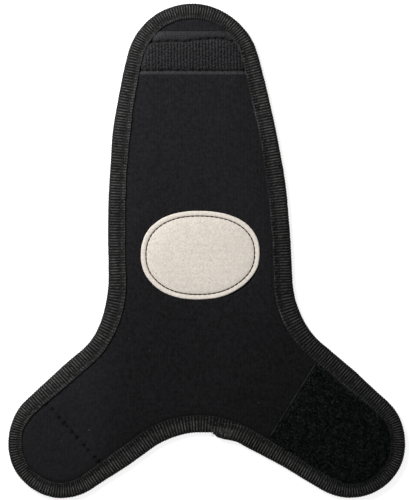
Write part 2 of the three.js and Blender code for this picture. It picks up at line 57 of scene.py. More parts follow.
# Pattern, as in the part's source
TONGUE = (-4.0, 88.5, 32.0)
LEFT_WAIST = (-88.5, -13.5, -44.5)
RIGHT_WAIST = (83.0, -12.0, -39.0)
LEFT_ARM = (-66.0, -89.5, 26.5)
RIGHT_ARM = (72.0, -89.5, 26.5)
NOTCH = (-0.5, -126.0, -41.0)
LEFT_FLANK_RADIUS = 395.0
RIGHT_FLANK_RADIUS = 415.0
TAPE_THICKNESS = 0.6
TAPE_WIDTH = 8.1
RIB_PITCH = 1.34
LAP_LENGTH = 20.0
LAP_RAMP = 6.0
LAP_RISE = 0.75
CUT_SLANT = 4.0
TAPE_END_FROM_NOTCH = 5.0
TAPE_SEAM_INSET = 6.0
STRIP_BOTTOM = 87.0
STRIP_TOP = 107.5
LOOP_ANGLE = -32.0
LOOP_LENGTH = 61.0
REAR_ANGLE = 221.5
REAR_LENGTH = 34.5
PATCH_SEAM = 1.6
BADGE_WIDTH = 57.4
BADGE_HEIGHT = 43.0
BADGE_FULLNESS = 2.3
BADGE_SEAM_INSET = 2.5
BADGE_STITCH = 2.3

# Where the badge was cut flatter than a true oval: direction and half-width in degrees, and depth
BADGE_FLATS = [(318, 33, 1.45), (72, 27, 0.30), (218, 20, 0.32)]

# Heights on the dressed pad, and the relief of its tapes
FOAM_FRONT = 3.25
FOAM_SWELL = 0.55
UNDER_TAPE = 2.88
UNDER_FLANGE = 2.97
CLOTH = 0.5
HOOK_PITCH = 1.5
RIB_DEPTH = 0.52

# Stands for the distance of a seam from any point that it doesn't reach
FAR = 99.0
SWELL_FRAMES = 20

random = np.random.default_rng(11)


# Outline

def flank_circle(tongue, waist, radius, side):
    from_tongue = radius - tongue[2]
    from_waist = radius - waist[2]
    dx, dy = waist[0] - tongue[0], waist[1] - tongue[1]
    apart = math.hypot(dx, dy)
    along = (from_tongue ** 2 - from_waist ** 2 + apart ** 2) / (2 * apart)
    across = side * math.sqrt(max(from_tongue ** 2 - along ** 2, 0))
    return (
        tongue[0] + (dx * along - dy * across) / apart,
        tongue[1] + (dy * along + dx * across) / apart,
        radius,
    )


CIRCLES = [
    TONGUE,
    flank_circle(TONGUE, LEFT_WAIST, LEFT_FLANK_RADIUS, 1),
    LEFT_WAIST,
    LEFT_ARM,
    NOTCH,
    RIGHT_ARM,
    RIGHT_WAIST,
    flank_circle(TONGUE, RIGHT_WAIST, RIGHT_FLANK_RADIUS, -1),
]


def outline_pieces(circles):
    """Arcs and straight lines as rows of x, y, radius, first angle, sweep and length."""
    count = len(circles)
    normals = []
    for i, here in enumerate(circles):
        ahead = circles[(i + 1) % count]
        dx, dy = ahead[0] - here[0], ahead[1] - here[1]
        cosine = (here[2] - ahead[2]) / math.hypot(dx, dy)
        normals.append(math.atan2(dy, dx) - math.acos(max(-1, min(1, cosine))))
    rows = []
    for i, (x, y, radius) in enumerate(circles):
        ahead = circles[(i + 1) % count]
        begin, end = normals[i - 1], normals[i]
        sign = math.copysign(1, radius)
        turn = ((end - begin) * sign) % (2 * math.pi)
        sweep = 0 if turn > 1.9 * math.pi else turn * sign
        rows.append((x, y, radius, begin, sweep, sweep * (radius - TAPE_THICKNESS)))
        px, py = x + radius * math.cos(end), y + radius * math.sin(end)
        qx, qy = ahead[0] + ahead[2] * math.cos(end), ahead[1] + ahead[2] * math.sin(end)
        rows.append((px, py, 0, end, 0, math.hypot(qx - px, qy - py)))
    return np.array(rows)


PIECES = outline_pieces(CIRCLES)
STARTS = np.concatenate([[0], np.cumsum(PIECES[:, 5])])
EDGE_LENGTH = STARTS[-1]
NOTCH_ROW = 2 * CIRCLES.index(NOTCH)
TAPE_START = STARTS[NOTCH_ROW] + PIECES[NOTCH_ROW, 5] / 2 + TAPE_END_FROM_NOTCH


def edge_at(distance):
    """x, y and the way out at distances along the tape from its cut end."""
    left = (TAPE_START + np.asarray(distance, float)) % EDGE_LENGTH
    index = np.clip(np.searchsorted(STARTS, left, side="right") - 1, 0, len(PIECES) - 1)
    x, y, radius, begin, sweep, length = PIECES[index].T
    run = left - STARTS[index]
    angle = begin + sweep * run / np.maximum(length, 1e-9)
    nx, ny = np.cos(angle), np.sin(angle)
    straight = np.where(radius == 0, run, 0)
    return x + radius * nx - ny * straight, y + radius * ny + nx * straight, nx, ny


def inset_xy(distance, inset):
    x, y, nx, ny = edge_at(distance)
    return np.stack([x - nx * inset, y - ny * inset], -1)


# The binding is guided by hand, so its fold wanders off the pattern and its open edge lies nearer or further in.
# Both lists run in even steps from the tape's cut end: how far out the fold lies, and where the open edge lies.
WANDER = [
    0.03, 0.35, -0.09, 0.39, 0.49, 0.35, -0.25, -0.18, 0.35, -0.01, 0.56, 0.10, 0.14, 0.52, 0.24, 0.16, 0.47,
    0.06, 0.31, 0.22, -0.02, 0.29, 0.68, -0.04, -0.12, -0.17, 0.53, -0.58, 0.16, 0.28, -0.27, 0.34, 0.72,
    0.17, 0.87, 0.51,
]
OPEN_EDGE = [
    8.1, 8.2, 7.6, 7.0, 6.4, 6.6, 7.1, 7.7, 8.3, 8.5, 8.6, 8.6, 8.5, 8.4, 7.9, 8.0, 7.2, 6.8, 6.9, 7.0, 7.3,
    7.5, 7.9, 8.0, 8.3, 8.3, 8.3, 8.3, 8.2, 7.4, 6.5, 6.4, 6.8, 7.7, 8.3, 8.4,
]
# Added to every number of WANDER
FOLD_OUT = -0.09


def eased(table, distance):
    """A list's value at distances along the tape, eased from each of its even steps to the next."""
    place = (np.asarray(distance, float) % EDGE_LENGTH) / EDGE_LENGTH * len(table)
    low = place.astype(int) % len(table)
    share = place - np.floor(place)
    share = share * share * (3 - 2 * share)
    values = np.array(table)
    return values[low] * (1 - share) + values[(low + 1) % len(table)] * share


def wander(distance):
    return eased(WANDER, distance) + FOLD_OUT


def narrowed(distance, inset):
    """How far further in than on the pattern a line of the front flange lies at an inset."""
    return (eased(OPEN_EDGE, distance) - TAPE_WIDTH) * np.clip((inset - 1) / (TAPE_WIDTH - 1), 0, 1)


def ring(inset, step):
    count = round(EDGE_LENGTH / step)
    at = np.arange(count) * EDGE_LENGTH / count
    return inset_xy(at, inset + narrowed(at, inset))


EDGE_STATIONS = np.arange(0, EDGE_LENGTH, 0.3)
EDGE_X, EDGE_Y, EDGE_NX, EDGE_NY = edge_at(EDGE_STATIONS)
EDGE_TREE = KDTree(len(EDGE_STATIONS))
for number, (ex, ey) in enumerate(zip(EDGE_X, EDGE_Y)):
    EDGE_TREE.insert((ex, ey, 0), number)
EDGE_TREE.balance()


def nearest_station(xy):
    return np.array([EDGE_TREE.find((px, py, 0))[1] for px, py in xy], int)


def inset_of(xy):
    """How far inside the outline points lie."""
    near = nearest_station(xy)
    return -((xy[:, 0] - EDGE_X[near]) * EDGE_NX[near] + (xy[:, 1] - EDGE_Y[near]) * EDGE_NY[near])


def open_inset_of(xy):
    """The same, measured so that the tape's open edge on the front always lies at its width."""
    return inset_of(xy) - narrowed(EDGE_STATIONS[nearest_station(xy)], TAPE_WIDTH)


def smooth(value, low, high):
    share = np.clip((value - low) / (high - low), 0, 1)
    return share * share * (3 - 2 * share)


def bell(value, width):
    """1 at zero, and falling off on both sides."""
    return np.exp(-((value / width) ** 2))


def ramped(distance, begin, end):
    """1 from begin to end, with the lap's ramps beyond them."""
    past = np.maximum(begin - distance, distance - end) / LAP_RAMP
    return np.clip(1 - past, 0, 1)


def waves(xy, size, seed):
    """Smooth noise from -1 to 1 whose features are about size across."""
    return np.array([noise.noise((px / size, py / size, seed)) for px, py in xy])


def arm_frame(tip, degrees, length):
    """Origin and axes of the straight cut across an arm: out towards the tip, and along the cut."""
    angle = math.radians(degrees)
    out = np.array([math.cos(angle), math.sin(angle)])
    along = np.array([-out[1], out[0]])
    return np.array(tip[:2]) + out * (tip[2] - length), out, along


LOOP_CUT = arm_frame(RIGHT_ARM, LOOP_ANGLE, LOOP_LENGTH)
REAR_CUT = arm_frame(LEFT_ARM, REAR_ANGLE, REAR_LENGTH)


def past_cut(xy, cut):
    return (xy - cut[0]) @ cut[1]


def beside(cut, out):
    """The straight line that runs along a cut, further out by so much."""
    return cut[0] + cut[1] * out, cut[2]


def badge_points(angle, inset):
    """The oval at an inset from its edge, with the flats of its cut fading towards the middle."""
    for middle, half, depth in BADGE_FLATS:
        turn = (np.degrees(angle) - middle + 180) % 360 - 180
        inset = inset + depth * bell(turn, half) * np.clip(1 - inset / 16, 0, 1)
    ways = ((np.cos(angle), BADGE_WIDTH), (np.sin(angle), BADGE_HEIGHT))
    return np.stack([np.sign(c) * np.abs(c) ** (2 / BADGE_FULLNESS) * (size / 2 - inset) for c, size in ways], -1)


def badge_inset(xy):
    """Roughly how far inside the badge's edge points lie, negative outside."""
    reach = (np.abs(xy[:, 0]) / (BADGE_WIDTH / 2)) ** BADGE_FULLNESS
    reach = (reach + (np.abs(xy[:, 1]) / (BADGE_HEIGHT / 2)) ** BADGE_FULLNESS) ** (1 / BADGE_FULLNESS)
    return (1 - reach) * np.hypot(xy[:, 0], xy[:, 1]) / np.maximum(reach, 1e-6)


# Meshes

def set_points(mesh, points):
    """Puts a mesh's points in the frame's metres from the pattern's millimetres."""
    world = (points + [SHIFT_X, SHIFT_Y, 0]) / 1000
    mesh.vertices.foreach_set("co", world.astype(np.float32).ravel())


def set_values(mesh, attributes):
    for key, values in attributes.items():
        layer = mesh.attributes.new(key, "FLOAT", "POINT")
        layer.data.foreach_set("value", np.asarray(values, np.float32).ravel())


def metres(mesh):
    found = np.zeros(len(mesh.vertices) * 3)
    mesh.vertices.foreach_get("co", found)
    return found.reshape(-1, 3)


def make_mesh(name, points, faces, material, slot, attributes=None, node=None):
    """A smooth piece from millimetre points and arrays of faces, each array with its own count of corners.

    It rides the pad's one body, and takes the place of a node of the part if one is named."""
    mesh = bpy.data.meshes.new(name)
    corners = np.concatenate([np.asarray(f).ravel() for f in faces]).astype(np.int32)
    totals = np.concatenate([np.full(len(f), np.asarray(f).shape[1]) for f in faces]).astype(np.int32)
    mesh.vertices.add(len(points))
    set_points(mesh, points)
    mesh.loops.add(len(corners))
    mesh.loops.foreach_set("vertex_index", corners)
    mesh.polygons.add(len(totals))
    mesh.polygons.foreach_set("loop_start", np.concatenate([[0], np.cumsum(totals)[:-1]]).astype(np.int32))
    mesh.polygons.foreach_set("use_smooth", np.ones(len(totals), bool))
    mesh.update(calc_edges=True)
    set_values(mesh, attributes or {})
    mesh.validate()
    mesh.materials.append(material)
    piece = bpy.data.objects.new(name, mesh)
    bpy.context.scene.collection.objects.link(piece)
    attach(piece, "root")
    if node:
        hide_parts(node)
    return piece


def grid_faces(rows, columns, wrap_rows=False, wrap_columns=False):
    r = np.arange(rows if wrap_rows else rows - 1)[:, None]
    c = np.arange(columns if wrap_columns else columns - 1)[None, :]
    r1, c1 = (r + 1) % rows, (c + 1) % columns
    quads = np.stack([r * columns + c, r * columns + c1, r1 * columns + c1, r1 * columns + c], -1)
    return quads.reshape(-1, 4)


def tubes(paths, radii, sides):
    """Closed tubes round many paths of equal count. radii is one number for each point of a path."""
    paths = np.asarray(paths, float)
    many, count = paths.shape[:2]
    radii = np.broadcast_to(np.asarray(radii, float), (many, count))
    tangents = np.gradient(paths, axis=1)
    tangents /= np.linalg.norm(tangents, axis=2, keepdims=True) + 1e-12
    chord = paths[:, -1] - paths[:, 0]
    side = np.stack([-chord[:, 1], chord[:, 0], np.full(many, 1e-4)], -1)
    side /= np.linalg.norm(side, axis=1, keepdims=True)
    first = np.cross(tangents, side[:, None, :])
    first /= np.linalg.norm(first, axis=2, keepdims=True) + 1e-12
    second = np.cross(tangents, first)
    turn = np.arange(sides) * 2 * math.pi / sides
    off = first[:, :, None] * np.cos(turn)[None, None, :, None]
    off = off + second[:, :, None] * np.sin(turn)[None, None, :, None]
    points = paths[:, :, None] + off * radii[:, :, None, None]
    one = grid_faces(count, sides, wrap_columns=True)
    base = (np.arange(many) * count * sides)[:, None, None]
    quads = (one[None] + base).reshape(-1, 4)
    near = np.arange(sides)[::-1][None, :] + base[:, 0]
    far = (count - 1) * sides + np.arange(sides)[None, :] + base[:, 0]
    return points.reshape(-1, 3), [quads, np.concatenate([near, far])]


def turned_over(points, faces):
    """A body mirrored through the plane that the pad lies on."""
    points[:, 2] *= -1
    return points, [f[:, ::-1] for f in faces]


def inside_polygon(xy, polygon):
    odd = np.zeros(len(xy), bool)
    for (x0, y0), (x1, y1) in zip(polygon, np.roll(polygon, -1, 0)):
        if y0 == y1:
            continue
        crosses = (y0 > xy[:, 1]) != (y1 > xy[:, 1])
        odd ^= crosses & (xy[:, 0] < (x1 - x0) * (xy[:, 1] - y0) / (y1 - y0) + x0)
    return odd


def flat_mesh(border, lines, spacing, clear):
    """Triangles over a closed border, with open or closed inner lines kept as edges.

    Returns the points, the triangles and the places of the border's points."""
    near = KDTree(sum(len(l) for l, _ in lines) + len(border))
    coords, edges = [], []

    def add_line(line, closed):
        base = len(coords)
        coords.extend(line)
        count = len(line)
        edges.extend((base + i, base + (i + 1) % count) for i in range(count if closed else count - 1))
        for point in line:
            near.insert((*point, 0), 0)

    add_line(border, True)
    for line, closed in lines:
        add_line(line, closed)
    near.balance()
    low, high = border.min(0), border.max(0)
    rise = spacing * 0.866
    ys = np.arange(low[1], high[1], rise)
    xs = np.arange(low[0], high[0], spacing)
    grid = np.array([(x + (j % 2) * spacing / 2, y) for j, y in enumerate(ys) for x in xs])
    grid = grid[inside_polygon(grid, border)]
    grid = [p for p in grid if near.find((*p, 0))[2] > clear]
    coords.extend(grid)
    vectors = [Vector((float(x), float(y))) for x, y in coords]
    made, _, faces, origins, _, _ = delaunay_2d_cdt(vectors, edges, [], 1, 1e-5)
    place = {}
    for index, group in enumerate(origins):
        for source in group:
            place[source] = index
    xy = np.array([(v.x, v.y) for v in made])
    triangles = np.array([f for f in faces if len(f) == 3])
    a, b, c = xy[triangles[:, 0]], xy[triangles[:, 1]], xy[triangles[:, 2]]
    area = (b[:, 0] - a[:, 0]) * (c[:, 1] - a[:, 1]) - (b[:, 1] - a[:, 1]) * (c[:, 0] - a[:, 0])
    triangles[area < 0] = triangles[area < 0][:, ::-1]
    return xy, triangles, np.array([place[i] for i in range(len(border))])


def closed_body(xy, triangles, border, top, bottom):
    """A closed body from one flat net, its top and bottom joined round the border."""
    count = len(xy)
    points = np.concatenate([np.column_stack([xy, top]), np.column_stack([xy, bottom])])
    ahead = np.roll(border, -1)
    rim = np.stack([border, border + count, ahead + count, ahead], -1)
    return points, [triangles, triangles[:, ::-1] + count, rim]


def straight(start, end, step):
    count = max(2, int(np.hypot(*(np.array(end) - start)) / step) + 1)
    return np.linspace(start, end, count)


# Materials

def feed(socket, value):
    """Links an output to a socket, or sets the socket to a constant."""
    if isinstance(value, bpy.types.NodeSocket):
        value.id_data.links.new(value, socket)
    else:
        socket.default_value = value


def maker(tree):
    """A function that makes nodes in a tree and takes inputs by name, or as i0, i1 and so on by place."""
    def node(kind, settings=None, **inputs):
        made = tree.nodes.new(kind)
        for key, value in (settings or {}).items():
            setattr(made, key, value)
        for key, value in inputs.items():
            by_place = key[0] == "i" and key[1:].isdigit()
            feed(made.inputs[int(key[1:]) if by_place else key.replace("_", " ")], value)
        return made

    return node


def new_material(name):
    """A material, its shader and a maker of its nodes."""
    material = bpy.data.materials.new(name)
    material.use_nodes = True
    tree = material.node_tree
    return material, tree.nodes["Principled BSDF"], maker(tree)


def gloss(shader, roughness, specular, sheen=0.0, sheen_roughness=0.5):
    feed(shader.inputs["Roughness"], roughness)
    shader.inputs["Specular IOR Level"].default_value = specular
    shader.inputs["Sheen Weight"].default_value = sheen
    shader.inputs["Sheen Roughness"].default_value = sheen_roughness


def finished(made, color, reliefs, *levels):
    """Colour, reliefs as height, strength and distance from fine to wide, and the levels that gloss takes."""
    material, shader, node = made
    feed(shader.inputs["Base Color"], color)
    finer = {}
    for height, strength, distance in reliefs:
        bump = node("ShaderNodeBump", Height=height, Strength=strength, Distance=distance, **finer)
        finer = {"Normal": bump.outputs["Normal"]}
    feed(shader.inputs["Normal"], finer["Normal"])
    gloss(shader, *levels)
    return material


def grain(node, scale, detail=2.0, roughness=0.5):
    place = node("ShaderNodeTexCoord").outputs["Object"]
    return node("ShaderNodeTexNoise", Vector=place, Scale=scale, Detail=detail, Roughness=roughness).outputs["Fac"]


def cells(node, scale, feature="F1"):
    place = node("ShaderNodeTexCoord").outputs["Object"]
    return node("ShaderNodeTexVoronoi", {"feature": feature}, Vector=place, Scale=scale).outputs["Distance"]


def bands(node, way, scale, distortion, detail=1.0, **more):
    place = node("ShaderNodeTexCoord").outputs["Object"]
    settings = {"wave_type": "BANDS", "bands_direction": way}
    inputs = {"Vector": place, "Scale": scale, "Distortion": distortion, "Detail": detail, **more}
    return node("ShaderNodeTexWave", settings, **inputs).outputs["Fac"]


def spread(node, value, to_low, to_high, low=0.3, high=0.7):
    """A value's range from low to high, stretched. The range at first is that of most noise."""
    levels = {"From Min": low, "From Max": high, "To Min": to_low, "To Max": to_high}
    return node("ShaderNodeMapRange", Value=value, **levels).outputs["Result"]


def maths(node, operation, first, second):
    return node("ShaderNodeMath", {"operation": operation}, i0=first, i1=second).outputs[0]


def mixed(node, factor, first, second):
    return node("ShaderNodeMix", {"data_type": "FLOAT"}, i0=factor, i2=first, i3=second).outputs[0]


def blended(node, factor, first, second, mode="MIX"):
    first, second = (c if isinstance(c, bpy.types.NodeSocket) else (*c, 1) for c in (first, second))
    settings = {"data_type": "RGBA", "blend_type": mode}
    return node("ShaderNodeMix", settings, i0=factor, i6=first, i7=second).outputs[2]


def scaled(node, color, *factors):
    """A colour times numbers that vary over the surface."""
    for factor in factors:
        grey = node("ShaderNodeCombineColor", Red=factor, Green=factor, Blue=factor).outputs["Color"]
        color = blended(node, 1.0, color, grey, "MULTIPLY")
    return color


def attribute(node, name):
    return node("ShaderNodeAttribute", {"attribute_name": name}).outputs["Fac"]


def foam_material():
    """Black jersey knit: fine loops, a soft mottle and rare specks, greyer where its tone is high."""
    made = new_material("knit_cloth")
    node = made[2]
    tone = attribute(node, "tone")
    # The cloth's colour by its tone, which carries painted light and painted shade besides a random change of
    # tone.
    light_and_tone = blended(node, tone, (0.0049, 0.0049, 0.0056), (0.0103, 0.0103, 0.0116))
    fuzz = grain(node, 690, 4, 0.8)
    mottle = mixed(node, tone, spread(node, fuzz, 0.0, 2.0), spread(node, fuzz, 0.48, 1.52))
    cloud = spread(node, grain(node, 45, 3, 0.6), 0.94, 1.06)
    rare = spread(node, grain(node, 150, 1), 0, 1, 0.60, 0.66)
    speck = mixed(node, rare, 1.0, spread(node, cells(node, 520), 2.4, 1.0, 0.0, 0.12))
    color = scaled(node, light_and_tone, attribute(node, "shade"), mottle, cloud, speck)
    knit = bands(node, "X", 190.0, 1.6, 2.0, Detail_Scale=3.0)
    loops = maths(node, "ADD", knit, cells(node, 1500.0, "SMOOTH_F1"))
    reliefs = [(loops, 0.5, 0.00012), (grain(node, 330, 4, 0.6), 0.5, 0.0005)]
    return finished(made, color, reliefs, 0.92, 0.08, 0.03, 0.6)


def tape_material():
    """Ribbed synthetic tape, whose tone gives painted highlights on the crests, painted shade in the hollows and a
    pale painted highlight along the open edge, besides its own uneven tone.
    """
    made = new_material("ribbed_tape")
    node = made[2]
    warm = blended(node, grain(node, 35), (0.0400, 0.0394, 0.0368), (0.0400, 0.0394, 0.0394))
    fibre = spread(node, grain(node, 1300, 3, 0.7), 0.65, 1.35)
    patchy = spread(node, grain(node, 60, 3, 0.6), 0.84, 1.16)
    color = scaled(node, warm, attribute(node, "tone"), fibre, patchy)
    color = blended(node, 1.0, color, (0.0018, 0.0018, 0.0020), "ADD")
    rough = spread(node, grain(node, 700), 0.5, 0.72)
    return finished(made, color, [(grain(node, 2400, 3, 0.7), 0.7, 0.0001)], rough, 0.10)


def strip_material():
    """The woven ground under the hooks, with a smooth lighter selvedge that is mottled more strongly."""
    made = new_material("hook_ground")
    node = made[2]
    tone = attribute(node, "tone")
    color = blended(node, tone, (0.0125, 0.0125, 0.0139), (0.0262, 0.0262, 0.0284))
    fuzz = grain(node, 1500, 3, 0.75)
    mottle = mixed(node, tone, spread(node, fuzz, 0.5, 1.5), spread(node, fuzz, 0.0, 2.0))
    color = scaled(node, color, mottle, attribute(node, "shade"))
    weave = maths(node, "MULTIPLY", bands(node, "X", 210.0, 0.8), bands(node, "Y", 330.0, 0.8))
    return finished(made, color, [(weave, 0.6, 0.0001)], 0.62, 0.15, 0.03)


def mottled_material(name, dark, light, mottle, relief, roughness, specular, pale=None):
    """Fibre from dark to light by its tone. The mottle is a grain with its range, the relief one with its bump."""
    made = new_material(name)
    node = made[2]
    color = blended(node, attribute(node, "tone"), dark, light)
    color = scaled(node, color, spread(node, grain(node, *mottle[:3]), *mottle[3:]))
    if pale:
        color = blended(node, attribute(node, "pale"), color, pale)
    return finished(made, color, [(grain(node, *relief[:3]), *relief[3:])], roughness, specular)


def canvas_material():
    """Undyed canvas: plain weave, slubs, and sparse brown husks."""
    made = new_material("undyed_canvas")
    node = made[2]
    base = blended(node, attribute(node, "tone"), (0.587, 0.527, 0.452), (0.910, 0.845, 0.773))
    weave = maths(node, "MULTIPLY", bands(node, "X", 620.0, 0.7, 2.0), bands(node, "Y", 560.0, 0.7, 2.0))
    threads = spread(node, weave, 0.86, 1.06, 0.0, 0.6)
    slub = spread(node, grain(node, 1150, 5, 0.8), 0.74, 1.26)
    cloud = spread(node, grain(node, 40), 0.97, 1.03)
    husk = spread(node, cells(node, 330), 1, 0, 0.08, 0.20)
    husk = maths(node, "MULTIPLY", husk, spread(node, grain(node, 230, 1), 0, 1, 0.55, 0.64))
    husk = spread(node, husk, 0, 0.4, 0, 1)
    color = blended(node, husk, scaled(node, base, threads, slub, cloud), (0.27, 0.21, 0.15))
    return finished(made, color, [(weave, 0.6, 0.00015)], 0.9, 0.12, 0.02)


def thread_material(name, dark, light, specular):
    """Twisted sewing thread."""
    made = new_material(name)
    node = made[2]
    twist = bands(node, "DIAGONAL", 900.0, 1.5)
    color = scaled(node, blended(node, twist, dark, light), spread(node, grain(node, 500), 0.8, 1.2))
    return finished(made, color, [(twist, 0.5, 0.00006)], 0.55, specular, 0.02)


KNIT = foam_material()
TAPE = tape_material()
HOOK_GROUND = strip_material()
CANVAS = canvas_material()
NYLON = mottled_material("hook_nylon", (0.0180, 0.0180, 0.0196), (0.0345, 0.0345, 0.0372),
                         (900, 2, 0.6, 0.7, 1.3), (3000, 2, 0.5, 0.3, 0.00005), 0.5, 0.14)
PILE = mottled_material("loop_pile", (0.0012, 0.0015, 0.0015), (0.0500, 0.0600, 0.0595),
                        (700, 3, 0.7, 0.6, 1.4), (1800, 3, 0.7, 0.8, 0.0002), 0.95, 0.03)
PILE_GROUND = mottled_material("loop_ground_cloth", (0.0023, 0.0026, 0.0026), (0.0215, 0.0256, 0.0254),
                               (900, 4, 0.75, 0.10, 1.90), (1500, 4, 0.75, 0.9, 0.00025), 0.9, 0.024,
                               pale=(0.031, 0.032, 0.034))
BLACK_THREAD = thread_material("black_thread", (0.0035, 0.0035, 0.004), (0.010, 0.010, 0.011), 0.15)
TAPE_THREAD = thread_material("tape_thread", (0.007, 0.007, 0.0075), (0.022, 0.022, 0.0215), 0.10)
BROWN_THREAD = thread_material("brown_thread", (0.011, 0.0075, 0.006), (0.036, 0.024, 0.018), 0.15)
LINT = thread_material("lint", (0.10, 0.097, 0.09), (0.20, 0.195, 0.18), 0.1)
FRAY = thread_material("tape_fibre", (0.05, 0.05, 0.047), (0.12, 0.118, 0.11), 0.15)


# Foam panel

def front_profile(inset):
    """Height of the cloth before it swells: gripped under the tape, then a crevice and a soft shoulder."""
    return np.interp(
        inset,
        [0, 1.2, 7.6, 8.2, 8.7, 9.3, 10.1, 11.2, 12.8, 15],
        [2.3, UNDER_TAPE, UNDER_TAPE, 2.55, 2.5, 2.78, 3.02, 3.16, FOAM_FRONT, FOAM_FRONT],
    )


def back_profile(inset):
    return np.interp(
        inset,
        [0, 1.2, 7.6, 8.6, 9.6, 11, 13],
        [1.3, 0.70, 0.70, 0.72, 0.34, 0.12, 0.04],
    )


def across_tongue(level, slope=0.0):
    return np.array([TONGUE[0], level]), np.array([1.0, slope])


STRIP_SEAMS = [across_tongue(STRIP_BOTTOM + 1.8), across_tongue(STRIP_TOP - 4.4, 0.02)]
LOOP_SEAM = beside(LOOP_CUT, PATCH_SEAM)
REAR_SEAM = beside(REAR_CUT, PATCH_SEAM)


def off_line(xy, line):
    """Distance from a straight line, signed to its left."""
    origin, way = line
    return (-(xy[:, 0] - origin[0]) * way[1] + (xy[:, 1] - origin[1]) * way[0]) / np.hypot(*way)


def line_inside(line, inset, step=2.0):
    """The stretch of a straight line that lies deeper inside the outline than an inset."""
    origin, way = line
    way = way / np.hypot(*way)
    samples = np.arange(-120, 120, 0.25)
    points = origin + samples[:, None] * way
    good = open_inset_of(points) > inset
    middle = len(samples) // 2
    low = middle
    while low > 0 and good[low - 1]:
        low -= 1
    high = middle
    while high < len(samples) - 1 and good[high + 1]:
        high += 1
    return straight(points[low], points[high], step)


def foam_mesh():
    border = ring(0.95, 2.4)
    lines = [(ring(inset, 2.2), True) for inset in (3.2, 5.6, 7.6)]
    lines += [(ring(inset, 1.8), True) for inset in (8.3, 8.9, 9.6, 10.6, 12.0)]
    levels = (STRIP_BOTTOM - 0.35, STRIP_BOTTOM + 0.5, STRIP_TOP - 0.5, STRIP_TOP + 0.35)
    crossing = [across_tongue(level) for level in levels] + STRIP_SEAMS
    crossing += [beside(LOOP_CUT, out) for out in (-0.4, 0.5, PATCH_SEAM)]
    lines += [(line_inside(line, 12.6), False) for line in crossing]
    for out in (-1.6, -1.1, -0.55, 0.0, 0.55, 1.1, 1.6):
        lines.append((line_inside((REAR_SEAM[0] + REAR_CUT[1] * out, REAR_CUT[2]), 12.2, 0.7), False))
    angles = np.arange(80) * 2 * math.pi / 80
    lines += [(badge_points(angles, inset), True) for inset in (-1.6, -0.4, 0.8, 2.5)]
    return flat_mesh(border, lines, 2.3, 1.15)


def seam_holes(line, pitch, wobble, inset, uneven=0.08):
    """Needle holes along a line, a little uneven in their steps and off the line."""
    ends = line_inside(line, inset)
    length = np.hypot(*(ends[-1] - ends[0]))
    many = max(2, round(length / pitch))
    share = np.linspace(0, 1, many + 1)
    share[1:-1] += random.normal(0, uneven / many, many - 1)
    way = (ends[-1] - ends[0]) / length
    aside = np.array([-way[1], way[0]])
    off = wobble * random.normal(0, 1, many + 1)
    return ends[0] + share[:, None] * (ends[-1] - ends[0]) + off[:, None] * aside


REAR_HOLES = seam_holes(REAR_SEAM, 3.65, 0.16, 8.6, 0.28)
LOOP_HOLES = seam_holes(LOOP_SEAM, 3.65, 0.12, 8.6)
LOWER_HOLES = seam_holes(STRIP_SEAMS[0], 3.57, 0.12, 8.6)
UPPER_HOLES = seam_holes(STRIP_SEAMS[1], 3.8, 0.12, 8.6, 0.12)
UPPER_HOLES[:, 1] += np.interp(
    UPPER_HOLES[:, 0],
    [-24, -20, -13.7, -8.4, -3.6, 1.2, 7.9, 10.3, 12.7, 16],
    [-0.6, -0.2, -0.2, -0.5, 0.2, 0.7, 0.6, 0.6, -0.6, -0.6],
)


def off_path(xy, path):
    """Distance from a path of points."""
    best = np.full(len(xy), 1e9)
    for a, b in zip(path[:-1], path[1:]):
        way = b - a
        share = np.clip(((xy - a) @ way) / (way @ way), 0, 1)
        best = np.minimum(best, np.hypot(*(xy - a - share[:, None] * way).T))
    return best


def spots(xy, holes, width, stretch=1):
    """A bell round each hole, drawn out across the pad by the stretch."""
    return [bell(np.hypot((xy[:, 0] - x) / stretch, xy[:, 1] - y), width) for x, y in holes]


def off_seams(xy):
    """Distances from the strip's two seams, the loop patch's, the rear patch's and the badge's."""
    on_tongue = xy[:, 1] > 70
    on_arm = (xy[:, 0] < -30) & (xy[:, 1] < -40)
    lower, upper = (np.where(on_tongue, np.abs(off_line(xy, line)), FAR) for line in STRIP_SEAMS)
    loop = np.where(past_cut(xy, LOOP_CUT) > -6, np.abs(off_line(xy, LOOP_SEAM)), FAR)
    rear = np.where(on_arm, np.abs(off_line(xy, REAR_SEAM)), FAR)
    return lower, upper, loop, rear, np.abs(badge_inset(xy) - BADGE_SEAM_INSET)


def seam_press(xy):
    """How far seams draw the front of the foam down, in millimetres."""
    reach = ((0.35, 0.2, 2.2), (0.35, 0.2, 2.2), (0.35, 0.2, 2.4), (0.30, 0.1, 1.6), (0.35, 0.2, 2.4))
    return np.max([deep * (1 - smooth(near, *ends)) for near, (deep, *ends) in zip(off_seams(xy), reach)], 0)


def back_press(xy):
    """How far the same seams draw the back of the foam up, from 0 to 1, but for the rear patch's."""
    lower, upper, loop, _, badge = off_seams(xy)
    return np.max([1 - smooth(near, 0.2, 2.2) for near in (lower, upper, loop, badge)], 0)


def pinned(xy, inset):
    """1 where tape or stitches hold the cloth, so that it can't swell."""
    return ((inset < 8.8) | (np.min(off_seams(xy), 0) < 0.6)).astype(float)


